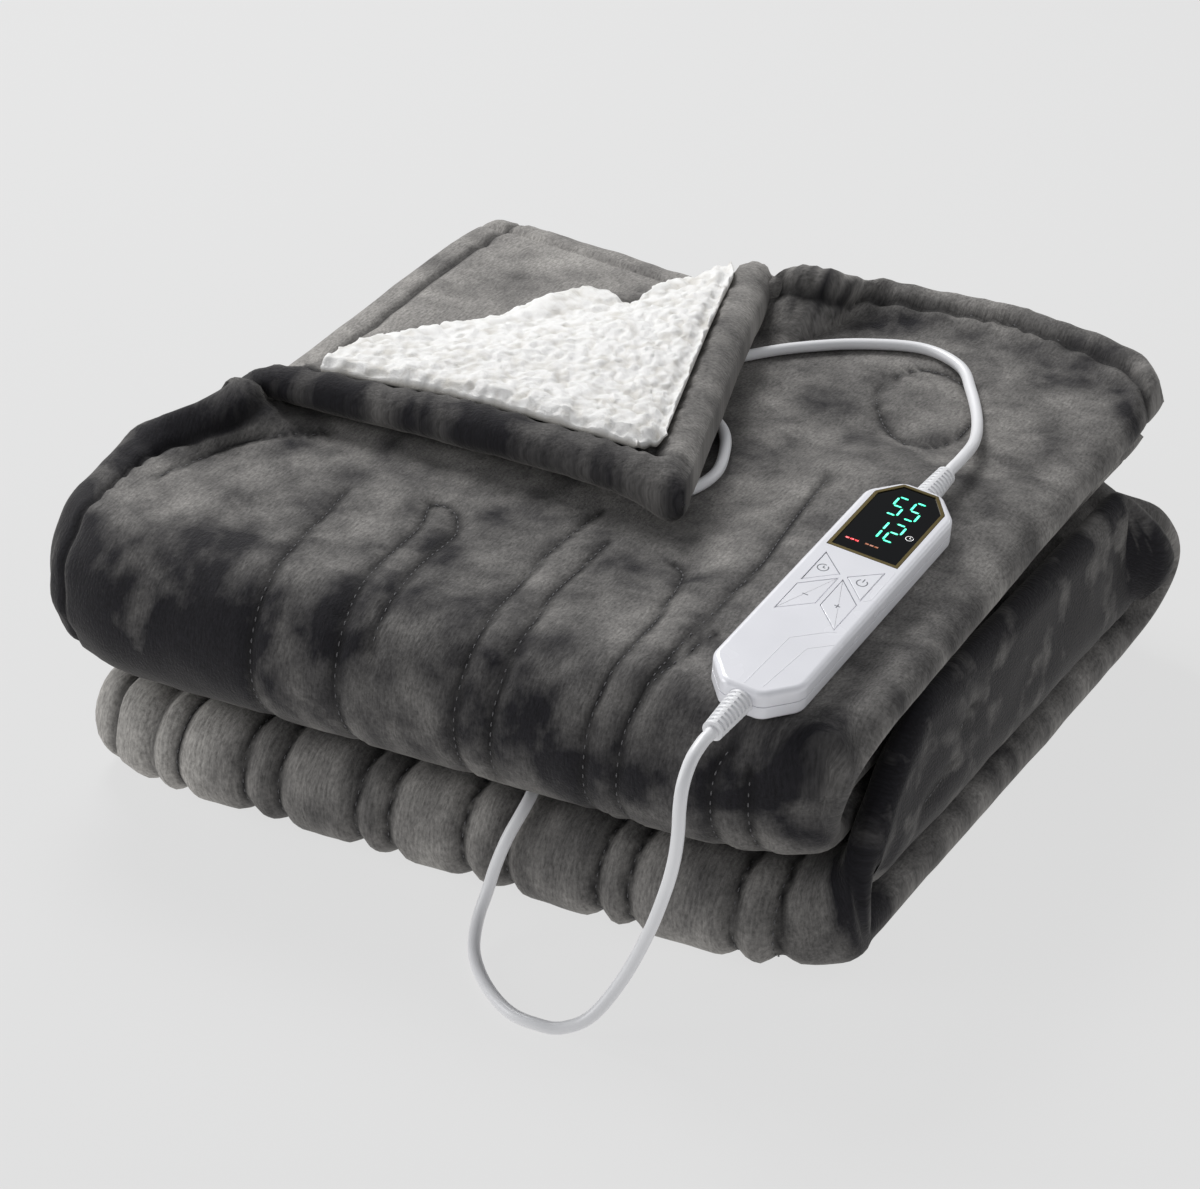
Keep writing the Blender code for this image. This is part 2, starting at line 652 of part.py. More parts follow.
def thicken(sheet, weights):
    """Give a sheet its thickness, which the weights state for each point."""
    full = max(weights)
    padding = sheet.vertex_groups.new(name="padding")
    for number, weight in enumerate(weights):
        padding.add([number], weight / full, "REPLACE")
    wall = sheet.modifiers.new("padding", "SOLIDIFY")
    wall.thickness = full
    wall.offset = 0
    wall.vertex_group = "padding"
    wall.use_quality_normals = True


def build_cloth(group, material):
    """The blanket: the pattern as a grid, cut, folded and given its padding."""
    rows = pattern_rows()
    columns = len(RIM_ROWS) + INNER_COLUMNS - 1 + len(FOLD_ROWS)
    mesh = bmesh.new()
    bmesh.ops.create_grid(mesh, x_segments=columns - 1, y_segments=len(rows) - 1, size=0.5)
    for vert in mesh.verts:
        column = round((vert.co.x + 0.5) * (columns - 1))
        row = rows[round((0.5 - vert.co.y) * (len(rows) - 1))]
        v = row_v(row, 0)
        for _ in range(3):
            x = column_x(column, v)
            v = row_v(row, x)
        vert.co = (x, v, 0)
    cut_pattern(mesh)
    weights = []
    for vert in mesh.verts:
        x, v = vert.co.xy
        weights.append(thickness(x, v))
        vert.co = fold(x, v)
    data = bpy.data.meshes.new("blanket_cloth")
    mesh.to_mesh(data)
    mesh.free()
    cloth = add_object("blanket_cloth", data, group, material)
    thicken(cloth, weights)
    return cloth


def cloth_normal(x, v):
    """Unit normal of the strip's middle surface, up where the top ply lies flat."""
    step = 0.0005
    across = fold(x + step, v) - fold(x - step, v)
    along = fold(x, v + step) - fold(x, v - step)
    return across.cross(along).normalized()


def lining_bounds(far):
    """Ends of the lining along the fold line, at a distance beyond it."""
    share = far / CORNER_FAR
    left_slope = Vector((CORNER_FAR, -CORNER_ALONG)).normalized().x
    right_slope = Vector((CORNER_FAR, LINE_LENGTH - CORNER_ALONG)).normalized().x
    left = share * CORNER_ALONG + LINING_INSET / left_slope
    right = mix(LINE_LENGTH, CORNER_ALONG, share) - LINING_INSET / right_slope
    return left, right


def build_lining(group, material):
    """The sherpa pile on the turned corner, from the corner's bend to inside its hems. In the
    bend its rows lie over the flannel's."""
    left, right = lining_bounds(0)
    bend = pi * flap_radius(1.0)
    last = CORNER_FAR * (right - left - LINING_POINT) / LINE_LENGTH
    rows = [bend * step / FLAP_CUTS for step in range(LINING_START, FLAP_CUTS)]
    rows += [mix(bend, last, step / LINING_ROWS) for step in range(LINING_ROWS + 1)]
    mesh = bmesh.new()
    bmesh.ops.create_grid(mesh, x_segments=LINING_COLUMNS, y_segments=len(rows) - 1, size=0.5)
    weights = []
    for vert in mesh.verts:
        share_along = vert.co.x + 0.5
        far = rows[round((vert.co.y + 0.5) * (len(rows) - 1))]
        left, right = lining_bounds(far)
        along = mix(left, right, share_along)
        x, v = FOLD_LEFT + LINE * along + BEYOND * far
        rim = min(share_along * (right - left), (1 - share_along) * (right - left), last - far)
        weights.append(LINING_THICK * max(0.3, rounded_rim(rim + 0.0005, LINING_RIM)))
        outward = thickness(x, v) / 2 + LINING_CLEAR + LINING_THICK / 2
        vert.co = fold(x, v) - cloth_normal(x, v) * outward
    data = bpy.data.meshes.new("sherpa_lining")
    mesh.to_mesh(data)
    mesh.free()
    lining = add_object("sherpa_lining", data, group, material)
    thicken(lining, weights)
    return lining


# ---------------------------------------------------------------- outlines and blocks
def outline_mesh(name, outlines, low, high):
    """A closed mesh from flat outlines (a second one is a hole), between two heights."""
    curve = bpy.data.curves.new(name, "CURVE")
    curve.dimensions = "2D"
    curve.fill_mode = "BOTH"
    curve.extrude = (high - low) / 2
    for outline in outlines:
        spline = curve.splines.new("POLY")
        spline.points.add(len(outline) - 1)
        for point, (x, y) in zip(spline.points, outline):
            point.co = (x, y, 0, 1)
        spline.use_cyclic_u = True
    shape = bpy.data.objects.new(name, curve)
    bpy.context.scene.collection.objects.link(shape)
    found = bpy.context.evaluated_depsgraph_get()
    data = bpy.data.meshes.new_from_object(shape.evaluated_get(found))
    data.name = name
    bpy.data.objects.remove(shape)
    mesh = bmesh.new()
    mesh.from_mesh(data)
    bmesh.ops.remove_doubles(mesh, verts=mesh.verts, dist=1e-6)
    bmesh.ops.dissolve_limit(mesh, angle_limit=radians(0.5), verts=mesh.verts, edges=mesh.edges)
    bmesh.ops.translate(mesh, verts=mesh.verts, vec=(0, 0, (low + high) / 2))
    bmesh.ops.recalc_face_normals(mesh, faces=mesh.faces)
    mesh.to_mesh(data)
    mesh.free()
    return data


def offset_outline(outline, distance):
    """A convex outline moved outward by a distance, its corners kept sharp."""
    points = [Vector(p) for p in outline]
    middle = sum(points, Vector((0, 0))) / len(points)
    moved = []
    for before, here, after in zip(points[-1:] + points[:-1], points, points[1:] + points[:1]):
        sides = []
        for a, b in ((before, here), (here, after)):
            normal = Vector((b.y - a.y, a.x - b.x)).normalized()
            if normal.dot(middle - a) > 0:
                normal = -normal
            sides.append(normal)
        corner = sides[0] + sides[1]
        moved.append(here + corner * (distance / (corner.length_squared / 2)))
    return [tuple(p) for p in moved]


def octagon(half_width, half_end, slant, low, high):
    """An outline with four slanted corners, between two places along Y."""
    return ((-half_end, low), (half_end, low), (half_width, low + slant), (half_width, high - slant),
            (half_end, high), (-half_end, high), (-half_width, high - slant),
            (-half_width, low + slant))


def round_edges(thing, width, segments=2):
    bevel = thing.modifiers.new("round", "BEVEL")
    bevel.width = width
    bevel.segments = segments
    bevel.limit_method = "ANGLE"
    bevel.angle_limit = radians(30)


def subtract(thing, data, cutters, parent):
    """Take a shape away from an object."""
    tool = add_object(data.name, data, cutters)
    tool.parent = parent
    tool.hide_render = True
    tool.display_type = "WIRE"
    taken = thing.modifiers.new(data.name, "BOOLEAN")
    taken.operation = "DIFFERENCE"
    taken.solver = "EXACT"
    taken.object = tool


# ---------------------------------------------------------------- the hand controller
def control_outline(margin=0.0):
    half = CONTROL_LENGTH / 2 - margin
    slant = CONTROL_SLANT
    end = CONTROL_END - margin * 0.5
    return octagon(CONTROL_WIDTH / 2 - margin, end, slant, -half, half)


def window_outline():
    return ((-WINDOW_SIDE, WINDOW_FRONT), (WINDOW_SIDE, WINDOW_FRONT), (WINDOW_SIDE, WINDOW_SLANT),
            (WINDOW_END, WINDOW_BACK), (-WINDOW_END, WINDOW_BACK), (-WINDOW_SIDE, WINDOW_SLANT))


def build_shells(frame, group, cutters, material):
    """The controller's two halves: open trays that meet along a line around the side."""
    around = octagon(CONTROL_WIDTH, CONTROL_WIDTH, 0.001, -CONTROL_LENGTH, CONTROL_LENGTH)
    inside = control_outline(SHELL_WALL)
    roof = CONTROL_THICK - SHELL_TOP
    halves = (("controller_lower_shell", (SHELL_SPLIT, 2 * CONTROL_THICK), (SHELL_WALL, SHELL_SPLIT + 0.002)),
              ("controller_upper_shell", (-CONTROL_THICK, SHELL_SPLIT + TOUCH), (SHELL_SPLIT - 0.002, roof)))
    shells = []
    for name, other_half, hollow in halves:
        data = outline_mesh(name, (control_outline(),), 0, CONTROL_THICK)
        shell = add_object(name, data, group, material)
        shell.parent = frame
        round_edges(shell, SHELL_ROUND)
        subtract(shell, outline_mesh(f"{name}_other_half", (around,), *other_half), cutters, frame)
        subtract(shell, outline_mesh(f"{name}_hollow", (inside,), *hollow), cutters, frame)
        shells.append(shell)
    upper = shells[1]
    seat = outline_mesh("window_seat", (offset_outline(window_outline(), TOUCH),),
                        CONTROL_THICK - WINDOW_THICK - TOUCH, CONTROL_THICK + 0.001)
    subtract(upper, seat, cutters, frame)
    for name, outline in KEY_OUTLINES.items():
        hole = outline_mesh(f"{name}_hole", (offset_outline(outline, KEY_GAP),),
                            roof - 0.001, CONTROL_THICK + 0.001)
        subtract(upper, hole, cutters, frame)
    return shells


def build_window(frame, group, material):
    data = outline_mesh("display_window", (window_outline(),), CONTROL_THICK - WINDOW_THICK,
                        CONTROL_THICK)
    window = add_object("display_window", data, group, material)
    window.parent = frame
    return window


def outline_middle(outline):
    return sum((Vector(p) for p in outline), Vector((0, 0))) / len(outline)


def build_keys(frame, group, material):
    """Four keys, each with a flange under the shell's roof. A key's origin is its middle."""
    roof = CONTROL_THICK - SHELL_TOP
    for name, outline in KEY_OUTLINES.items():
        middle = outline_middle(outline)
        face = [tuple(Vector(p) - middle) for p in outline]
        mesh = bmesh.new()
        mesh.from_mesh(outline_mesh(name, (offset_outline(face, KEY_LIP),),
                                    roof - TOUCH - LIP_THICK, roof - TOUCH))
        lip_top = max(mesh.faces, key=lambda f: f.calc_center_median().z)
        bmesh.ops.inset_individual(mesh, faces=[lip_top], thickness=KEY_LIP, use_even_offset=True)
        raised = bmesh.ops.extrude_face_region(mesh, geom=[lip_top])
        points = [item for item in raised["geom"] if isinstance(item, bmesh.types.BMVert)]
        bmesh.ops.translate(mesh, verts=points, vec=(0, 0, SHELL_TOP + TOUCH))
        bmesh.ops.delete(mesh, geom=[lip_top], context="FACES_ONLY")
        data = bpy.data.meshes.new(name)
        mesh.to_mesh(data)
        mesh.free()
        key = add_object(name, data, group, material)
        key.parent = frame
        key.location = (*middle, 0)


def turned(name, outline, sides, group, material):
    """A turned solid from (radius, height) points, top to bottom down its outer side."""
    data = bpy.data.meshes.new(name)
    points = [(radius, 0, height) for radius, height in outline]
    edges = [(n, n + 1) for n in range(len(points) - 1)]
    if outline[0][0] > 0:
        edges.append((len(points) - 1, 0))
    data.from_pydata(points, edges, [])
    made = add_object(name, data, group, material)
    screw = made.modifiers.new("turn", "SCREW")
    screw.steps = sides
    screw.render_steps = sides
    screw.use_merge_vertices = True
    screw.merge_threshold = 0.00005
    screw.use_smooth_shade = False
    return made


def relief_outline():
    """The ribbed taper, from its tip down to its foot, with the axis at both ends."""
    points = [(0.0, RELIEF_LENGTH)]
    pitch = RELIEF_LENGTH / (RELIEF_RIBS + 0.5)
    for rib in range(RELIEF_RIBS, -1, -1):
        radius = mix(RELIEF_WIDE, RELIEF_NARROW, rib / RELIEF_RIBS)
        low = rib * pitch
        high = low + pitch * 0.5
        points += [(radius, high), (radius, low)]
        if rib:
            points += [(radius - RELIEF_GROOVE, low), (radius - RELIEF_GROOVE, low - pitch * 0.5)]
    return points + [(0.0, 0.0)]


def build_reliefs(frame, group, material):
    """The strain reliefs on the controller's two end faces."""
    for name, side in (("relief_blanket_end", 1), ("relief_mains_end", -1)):
        relief = turned(name, relief_outline(), RELIEF_SIDES, group, material)
        relief.parent = frame
        relief.location = (0, side * (CONTROL_LENGTH / 2 + TOUCH), CONTROL_THICK / 2)
        relief.rotation_euler = (-side * pi / 2, 0, 0)


def build_controller(group, cutters, white, dark):
    frame = add_object("controller_frame", None, group)
    frame.location = CONTROL_AT
    frame.rotation_euler = CONTROL_TURN
    build_shells(frame, group, cutters, white)
    build_window(frame, group, dark)
    build_keys(frame, group, white)
    build_reliefs(frame, group, white)


# ---------------------------------------------------------------- cords
def between(points, number, share):
    """A point of a smooth curve through the given points, in the span after one of them."""
    before = points[max(0, number - 1)]
    a, b = points[number], points[number + 1]
    after = points[min(len(points) - 1, number + 2)]
    return 0.5 * (2 * a + (b - before) * share + (2 * before - 5 * a + 4 * b - after) * share ** 2
                  + (3 * a - before - 3 * b + after) * share ** 3)


def smooth_route(places, step):
    """Points at even steps along a smooth curve through the given places, and one more near
    each end, so that its faces stand square to the curve."""
    points = [Vector(p) for p in places]
    fine = 24
    path = [between(points, n, k / fine) for n in range(len(points) - 1) for k in range(fine)]
    path.append(points[-1])
    length = sum((b - a).length for a, b in zip(path, path[1:]))
    steps = max(1, round(length / step))
    targets = [length * n / steps for n in range(1, steps)]
    targets = [CORD_SQUARE] + targets + [length - CORD_SQUARE]
    route = [path[0]]
    done = 0.0
    for a, b in zip(path, path[1:]):
        span = (b - a).length
        while targets and done + span >= targets[0]:
            route.append(a.lerp(b, (targets.pop(0) - done) / span))
        done += span
    route.append(path[-1])
    return route


def build_cord(name, places, group, material):
    """A cord as a tube along a smooth curve."""
    route = smooth_route(places, CORD_STEP)
    curve = bpy.data.curves.new(name, "CURVE")
    curve.dimensions = "3D"
    curve.bevel_depth = CORD / 2
    curve.bevel_resolution = 2
    curve.use_fill_caps = True
    spline = curve.splines.new("POLY")
    spline.points.add(len(route) - 1)
    for point, place in zip(spline.points, route):
        point.co = (*place, 1)
    return add_object(name, curve, group, material)


def relief_tip(side, past=0.0):
    """The point where a cord leaves a strain relief, or a place past it on its axis."""
    y = side * (CONTROL_LENGTH / 2 + TOUCH + RELIEF_LENGTH + TOUCH + past)
    return CONTROL_FRAME @ Vector((0, y, CONTROL_THICK / 2))


def connector_frame():
    """Where the connector lies, with +X away from its cord."""
    x, y = CONNECTOR_AT
    way = Vector(CONNECTOR_AT) - Vector(CONTROL_LIE[-1])
    turn = Matrix.Rotation(way.angle_signed(Vector((1, 0))), 4, "Z")
    return Matrix.Translation((x, y, top_surface(x, y) + CLOTH_MARGIN)) @ turn


def build_control_cord(group, material):
    """From the controller's display end over the cloth, round a loop, to the connector."""
    length, _, height = CONNECTOR_SIZE
    places = [relief_tip(1, past) for past in STRAIGHT]
    places += CONTROL_DROP
    places += [(x, y, top_surface(x, y) + CORD / 2 + CLOTH_MARGIN) for x, y in CONTROL_LIE]
    places += [connector_frame() @ Vector((-length / 2 - TOUCH - past, 0, height / 2))
               for past in reversed(STRAIGHT)]
    return build_cord("control_cord", places, group, material)


def build_connector(group, material):
    """The flat housing on the blanket, turned so that the cord runs into its end."""
    length, width, height = CONNECTOR_SIZE
    outline = [(x * length / 2, y * width / 2) for x, y in ((-1, -1), (1, -1), (1, 1), (-1, 1))]
    data = outline_mesh("blanket_connector", (outline,), 0, height)
    housing = add_object("blanket_connector", data, group, material)
    round_edges(housing, CONNECTOR_ROUND)
    housing.matrix_world = connector_frame()
    return housing


def coil_meeting(side):
    """Where the lead (-1) or the tail (1) meets the coil, in plan."""
    x, y = COIL_AT
    outer_turn = COIL_OUTER - CORD / 2
    return x + side * COIL_LEAD_X, y - outer_turn


def build_mains_cord(group, material):
    """From the controller over the front, between the rolls, through the stack to the coil."""
    places = [relief_tip(-1, past) for past in STRAIGHT]
    places += MAINS_FRONT
    places += [(x, y, GAP_HEIGHT) for x, y in MAINS_INSIDE]
    places += MAINS_BACK
    places.append((*coil_meeting(-1), COIL_LOW + CORD / 2))
    build_cord("mains_cord", places, group, material)
    x, y = coil_meeting(1)
    tail = [(x, y, PLUG_THICK / 2), (PLUG_X - TOUCH, y, PLUG_THICK / 2)]
    build_cord("mains_cord_tail", tail, group, material)


def build_coil(group, white, tie_material):
    """The lead's coiled length as one ring, and the tie around it."""
    middle = (COIL_INNER + COIL_OUTER) / 2
    half_wide, half_high = (COIL_OUTER - COIL_INNER) / 2, (COIL_HIGH - COIL_LOW) / 2
    level = (COIL_HIGH + COIL_LOW) / 2
    outline = octagon(half_wide, half_wide - COIL_ROUND, COIL_ROUND, -half_high, half_high)
    ring = turned("cord_coil", [(middle + x, level + z) for x, z in reversed(outline)], COIL_SIDES,
                  group, white)
    ring.location = (*COIL_AT, 0)
    inner = (half_wide + TIE_SIDE, half_high + TOUCH)
    outer = (inner[0] + TIE_THICK, inner[1] + TIE_THICK)
    loops = [[(x * w, z * h) for x, z in ((-1, -1), (1, -1), (1, 1), (-1, 1))]
             for w, h in (outer, inner)]
    data = outline_mesh("coil_tie", loops, -TIE_WIDTH / 2, TIE_WIDTH / 2)
    tie = add_object("coil_tie", data, group, tie_material)
    tie.location = (COIL_AT[0], COIL_AT[1] + middle, level)
    tie.rotation_euler = (pi / 2, 0, pi / 2)


def build_plug(group, white, metal):
    """A flat two-pin plug that lies beside the coil, its pins along +X."""
    half, neck = PLUG_WIDTH / 2, PLUG_NECK / 2
    outline = ((0, -neck), (PLUG_SHOULDER, -half), (PLUG_LENGTH, -half), (PLUG_LENGTH, half),
               (PLUG_SHOULDER, half), (0, neck))
    body = add_object("plug_body", outline_mesh("plug_body", (outline,), 0, PLUG_THICK), group, white)
    round_edges(body, PLUG_ROUND)
    side = coil_meeting(1)[1]
    body.location = (PLUG_X, side, 0)
    for number, way in enumerate((-1, 1), start=1):
        mesh = bmesh.new()
        bmesh.ops.create_cone(mesh, cap_ends=True, segments=PIN_SIDES, radius1=PIN_RADIUS,
                              radius2=PIN_RADIUS, depth=PIN_LENGTH)
        data = bpy.data.meshes.new(f"plug_pin_{number}")
        mesh.to_mesh(data)
        mesh.free()
        pin = add_object(f"plug_pin_{number}", data, group, metal)
        pin.rotation_euler = (0, pi / 2, 0)
        pin.location = (PLUG_X + PLUG_LENGTH + TOUCH + PIN_LENGTH / 2, side + way * PIN_SPACING / 2,
                        PLUG_THICK / 2)


def main():
    drop_everything()
    parts = new_collection("heated_blanket")
    cutters = new_collection("cutters")
    charcoal = plain("flannel_charcoal", (0.060, 0.060, 0.058), 0.9)
    sherpa = plain("sherpa_white", (0.78, 0.77, 0.74), 0.95)
    white = plain("glossy_white_plastic", (0.85, 0.85, 0.86), 0.25)
    cord_white = plain("cord_white", (0.82, 0.82, 0.82), 0.4)
    dark = plain("dark_window", (0.02, 0.02, 0.02), 0.08)
    tie_grey = plain("tie_grey", (0.30, 0.30, 0.30), 0.5)
    metal = plain("nickel", (0.65, 0.64, 0.62), 0.25, metallic=1.0)
    build_cloth(parts, charcoal)
    build_lining(parts, sherpa)
    build_controller(parts, cutters, white, dark)
    build_connector(parts, white)
    build_control_cord(parts, cord_white)
    build_mains_cord(parts, cord_white)
    build_coil(parts, cord_white, tie_grey)
    build_plug(parts, white, metal)


main()
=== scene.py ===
"""Looks of a folded electric blanket with its hand controller and mains lead.

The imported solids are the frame. Every soft or rounded form here is made over one of them, in the
same place: the cloth with its quilting and pile, the curly lining, the cords at their real length,
the controller's case, keys and display, the strain reliefs, the coil's tie and the plug.
The cloth's pattern has two coordinates, across (x) and along (v), as its solid has: fold() carries
a point of the pattern to its place in the stack. Metres, +Z up, +Y to the back.
"""
from collections import namedtuple
from math import cos, exp, pi, radians, sin, sqrt

import bpy
import numpy as np
from bpy.props import FloatProperty, FloatVectorProperty, PointerProperty
from bpy.types import Operator, Panel, PropertyGroup
from mathutils import Euler, Matrix, Vector, noise


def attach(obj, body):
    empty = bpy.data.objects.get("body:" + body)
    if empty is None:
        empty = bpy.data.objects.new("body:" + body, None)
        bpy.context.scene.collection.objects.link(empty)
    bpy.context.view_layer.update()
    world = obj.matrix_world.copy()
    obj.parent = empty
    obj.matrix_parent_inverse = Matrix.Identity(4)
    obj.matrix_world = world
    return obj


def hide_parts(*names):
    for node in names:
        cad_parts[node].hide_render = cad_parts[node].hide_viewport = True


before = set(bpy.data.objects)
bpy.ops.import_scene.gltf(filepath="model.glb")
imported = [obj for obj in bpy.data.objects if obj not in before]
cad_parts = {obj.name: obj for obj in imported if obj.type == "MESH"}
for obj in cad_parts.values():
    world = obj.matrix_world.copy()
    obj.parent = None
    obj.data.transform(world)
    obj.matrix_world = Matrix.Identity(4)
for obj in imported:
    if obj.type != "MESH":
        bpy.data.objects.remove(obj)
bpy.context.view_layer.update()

bl_info = {
    "name": "Folded electric blanket",
    "version": (1, 0, 0),
    "blender": (4, 5, 0),
    "location": "3D View > Sidebar > Blanket",
    "description": "Dresses the folded blanket's solids: cloth, lining, cords, controller and plug",
    "category": "Object",
}

TOUCH = 0.0003

# ---------------------------------------------------------------- the folded cloth
Ply = namedtuple("Ply", "level thick left_front left_back right_front right_back")
PLIES = {
    "top":     Ply(0.1395, 0.021, -0.244, -0.246, 0.217, 0.211),
    "second":  Ply(0.1180, 0.018, -0.240, -0.250, 0.197, 0.202),
    "third":   Ply(0.0960, 0.018, -0.232, -0.230, 0.196, 0.202),
    "fourth":  Ply(0.0750, 0.021, -0.232, -0.226, 0.197, 0.202),
    "fifth":   Ply(0.0440, 0.026, -0.216, -0.220, 0.214, 0.226),
    "bottom":  Ply(0.0130, 0.026, -0.214, -0.220, 0.209, 0.219),
}
Turn = namedtuple("Turn", "above_or_from to side y_left y_right swell")
TURNS = (
    Turn("top", "fourth", -1, -0.189, -0.168, 0.000),
    Turn("fourth", "fifth", 1, 0.165, 0.148, 0.010),
    Turn("fifth", "bottom", -1, -0.194, -0.171, 0.000),
    Turn("bottom", "third", 1, 0.176, 0.158, 0.026),
    Turn("third", "second", -1, -0.186, -0.165, 0.000),
)
SWELL_AT = 0.62
HALF_WIDTH = 0.230
TOP_HEM = ((-0.306, 0.232), (0.011, 0.187), (0.024, 0.221), (0.060, 0.231), (0.110, 0.240),
           (0.160, 0.230), (0.192, 0.218), (0.211, 0.196))
SECOND_HEM = (0.264, 0.190)
SLANT_FADE = 0.16
CORNER_RECESS, CORNER_REACH = 0.020, 0.060
CROWN = 0.0035
CROWN_SHARE = {"top": 1.0, "second": 0.65, "third": 0.3, "fourth": 0, "fifth": 0, "bottom": 0}
DROOP, DROOP_FROM = 0.005, 0.19
EDGE_BEND = -0.128
RISE_AT = Vector((-0.236, -0.100))
EDGE_RISE, RISE_REACH = 0.015, 0.046
HEM_GROOVE, GROOVE_HALF, GROOVE_DEPTH = 0.0235, 0.0045, 0.32
RIM_HALF, THINNEST = 0.0125, 0.05
COLLAR_BEND, COLLAR_FRONT, COLLAR_BACK = 0.021, 0.187, 0.197
COLLAR_RISE, COLLAR_LEAD, COLLAR_FADE, COLLAR_THICK = 0.061, 0.032, 0.044, 0.66
FOLD_LEFT = Vector((-0.208, -0.080))
FOLD_BACK = Vector(TOP_HEM[1])
FLAT_CORNER = Vector(TOP_HEM[0])
TIP = Vector((0.066, -0.076))
FLAP_THICK = 0.80
FLAP_GAP_LEFT, FLAP_GAP_BACK = 0.0030, 0.0115
HEM_PUFF = 1.12
SEAM_HALF, SEAM_DEPTH, SEAM_LEAD, SEAM_TAIL = 0.010, 0.22, 0.030, 0.012

# rows of stitching on the top ply and its roll, as pattern (x, v) from the top hem to the front
QUILTING = {
    "first": ((-0.1075, -0.112), (-0.102, -0.161), (-0.098, -0.190), (-0.0955, -0.214),
              (-0.092, -0.262)),
    "second": ((-0.065, -0.102), (-0.0576, -0.122), (-0.0556, -0.148), (-0.054, -0.176),
               (-0.050, -0.200), (-0.0475, -0.220), (-0.044, -0.262)),
    "second_return": ((-0.0650, -0.102), (-0.0500, -0.1040), (-0.0376, -0.122), (-0.0374, -0.150),
                      (-0.0352, -0.174), (-0.0316, -0.207)),
    "third": ((0.0150, -0.070), (0.0126, -0.102), (0.0125, -0.131), (0.0153, -0.167),
              (0.0181, -0.194), (0.0184, -0.216), (0.0181, -0.262)),
    "third_return": ((0.0330, -0.095), (0.0327, -0.143), (0.0365, -0.174), (0.0385, -0.194),
                     (0.0370, -0.252)),
    "fourth": ((0.0700, -0.098), (0.0805, -0.106), (0.0863, -0.136), (0.0895, -0.162),
               (0.0898, -0.187), (0.0878, -0.202), (0.0864, -0.262)),
    "fifth": ((0.1180, -0.148), (0.1102, -0.187), (0.1058, -0.207), (0.1040, -0.262)),
    "sixth": ((0.1052, 0.008), (0.1067, -0.017), (0.1075, -0.042), (0.1110, -0.081),
              (0.1101, -0.115), (0.1089, -0.149), (0.1075, -0.196)),
    "under_controller": ((0.1563, -0.2057), (0.1512, -0.220), (0.1505, -0.262)),
    "under_controller_right": ((0.1660, -0.2150), (0.1675, -0.262)),
    "left_seam": ((-0.2026, -0.1441), (-0.1978, -0.1240), (-0.1901, -0.1067), (-0.1790, -0.0929),
                  (-0.1680, -0.0821), (-0.1487, -0.0657)),
    "ring": ((0.0873, 0.0979), (0.1004, 0.0807), (0.1167, 0.0688), (0.1299, 0.0712),
             (0.1378, 0.0889), (0.1349, 0.1176), (0.1202, 0.1407), (0.1024, 0.1508),
             (0.0870, 0.1469), (0.0799, 0.1293), (0.0810, 0.1120), (0.0873, 0.0979)),
}
# pairs of rows round the lower roll, as x
CHANNELS = ((-0.168, -0.151), (-0.112, -0.093), (-0.048, -0.028), (0.013, 0.036),
            (0.086, 0.104), (0.157, 0.174))

# ---------------------------------------------------------------- the lining
LINING_THICK, LINING_CLEAR, LINING_INSET = 0.0065, 0.0007, 0.0265
LINING_FROM = 3 / 7
LINING_POINT, LINING_RIM = 0.012, 0.006
LINING_TUCK = 0.0080
LINING_GRID = 130, 200
CURL_SEED = 5            # without it noise_vector's offsets would come from the clock
# where the pile starts beyond the fold, by share of the fold's length
LINING_EDGE = ((0.0, 2.7), (0.05, 2.4), (0.11, 2.0), (0.18, 1.7), (0.30, 1.6), (0.45, 1.4),
               (0.60, 1.5), (0.70, 2.3), (0.735, 3.1), (0.77, 2.5), (0.85, 2.1), (0.93, 2.0),
               (1.0, 1.7))

# ---------------------------------------------------------------- the hand controller
CONTROL_LENGTH, CONTROL_WIDTH, CONTROL_THICK = 0.190, 0.048, 0.0160
CONTROL_END, CONTROL_SLANT = 0.0105, 0.0160
CONTROL_AT = Vector((0.1585, -0.0990, 0.1530))
CONTROL_TURN = Euler((radians(3.2), radians(5.0), radians(-0.5)))
CONTROL_FRAME = Matrix.Translation(CONTROL_AT) @ CONTROL_TURN.to_matrix().to_4x4()
BED_FRONT, BED_FRONT_END = -0.183, -0.195
BED_BACK, BED_BACK_END = 0.012, 0.075
BED_LEFT, BED_LEFT_END = 0.128, 0.070
BED_RIGHT, BED_RIGHT_END = 0.192, 0.214
SHELL_SPLIT, SHELL_GAP = 0.0078, 0.0003
CASE_CORNER = 0.0035
DISPLAY_FACE = CONTROL_THICK - 0.0004
KEY_DEEP = 0.0034
WINDOW = ((-0.0182, 0.0272), (0.0182, 0.0272), (0.0182, 0.0788), (0.0090, 0.0912),
          (-0.0090, 0.0912), (-0.0182, 0.0788))
KEY_OUTLINES = {
    "key_timer": ((-0.0022, 0.0073), (-0.0156, 0.0194), (-0.0156, -0.0060)),
    "key_power": ((0.0022, 0.0073), (0.0156, -0.0060), (0.0156, 0.0194)),
    "key_minus": ((-0.0014, 0.0037), (-0.0156, -0.0103), (-0.0156, -0.0330), (-0.0014, -0.0195)),
    "key_plus": ((0.0014, 0.0037), (0.0014, -0.0195), (0.0156, -0.0330), (0.0156, -0.0103)),
}

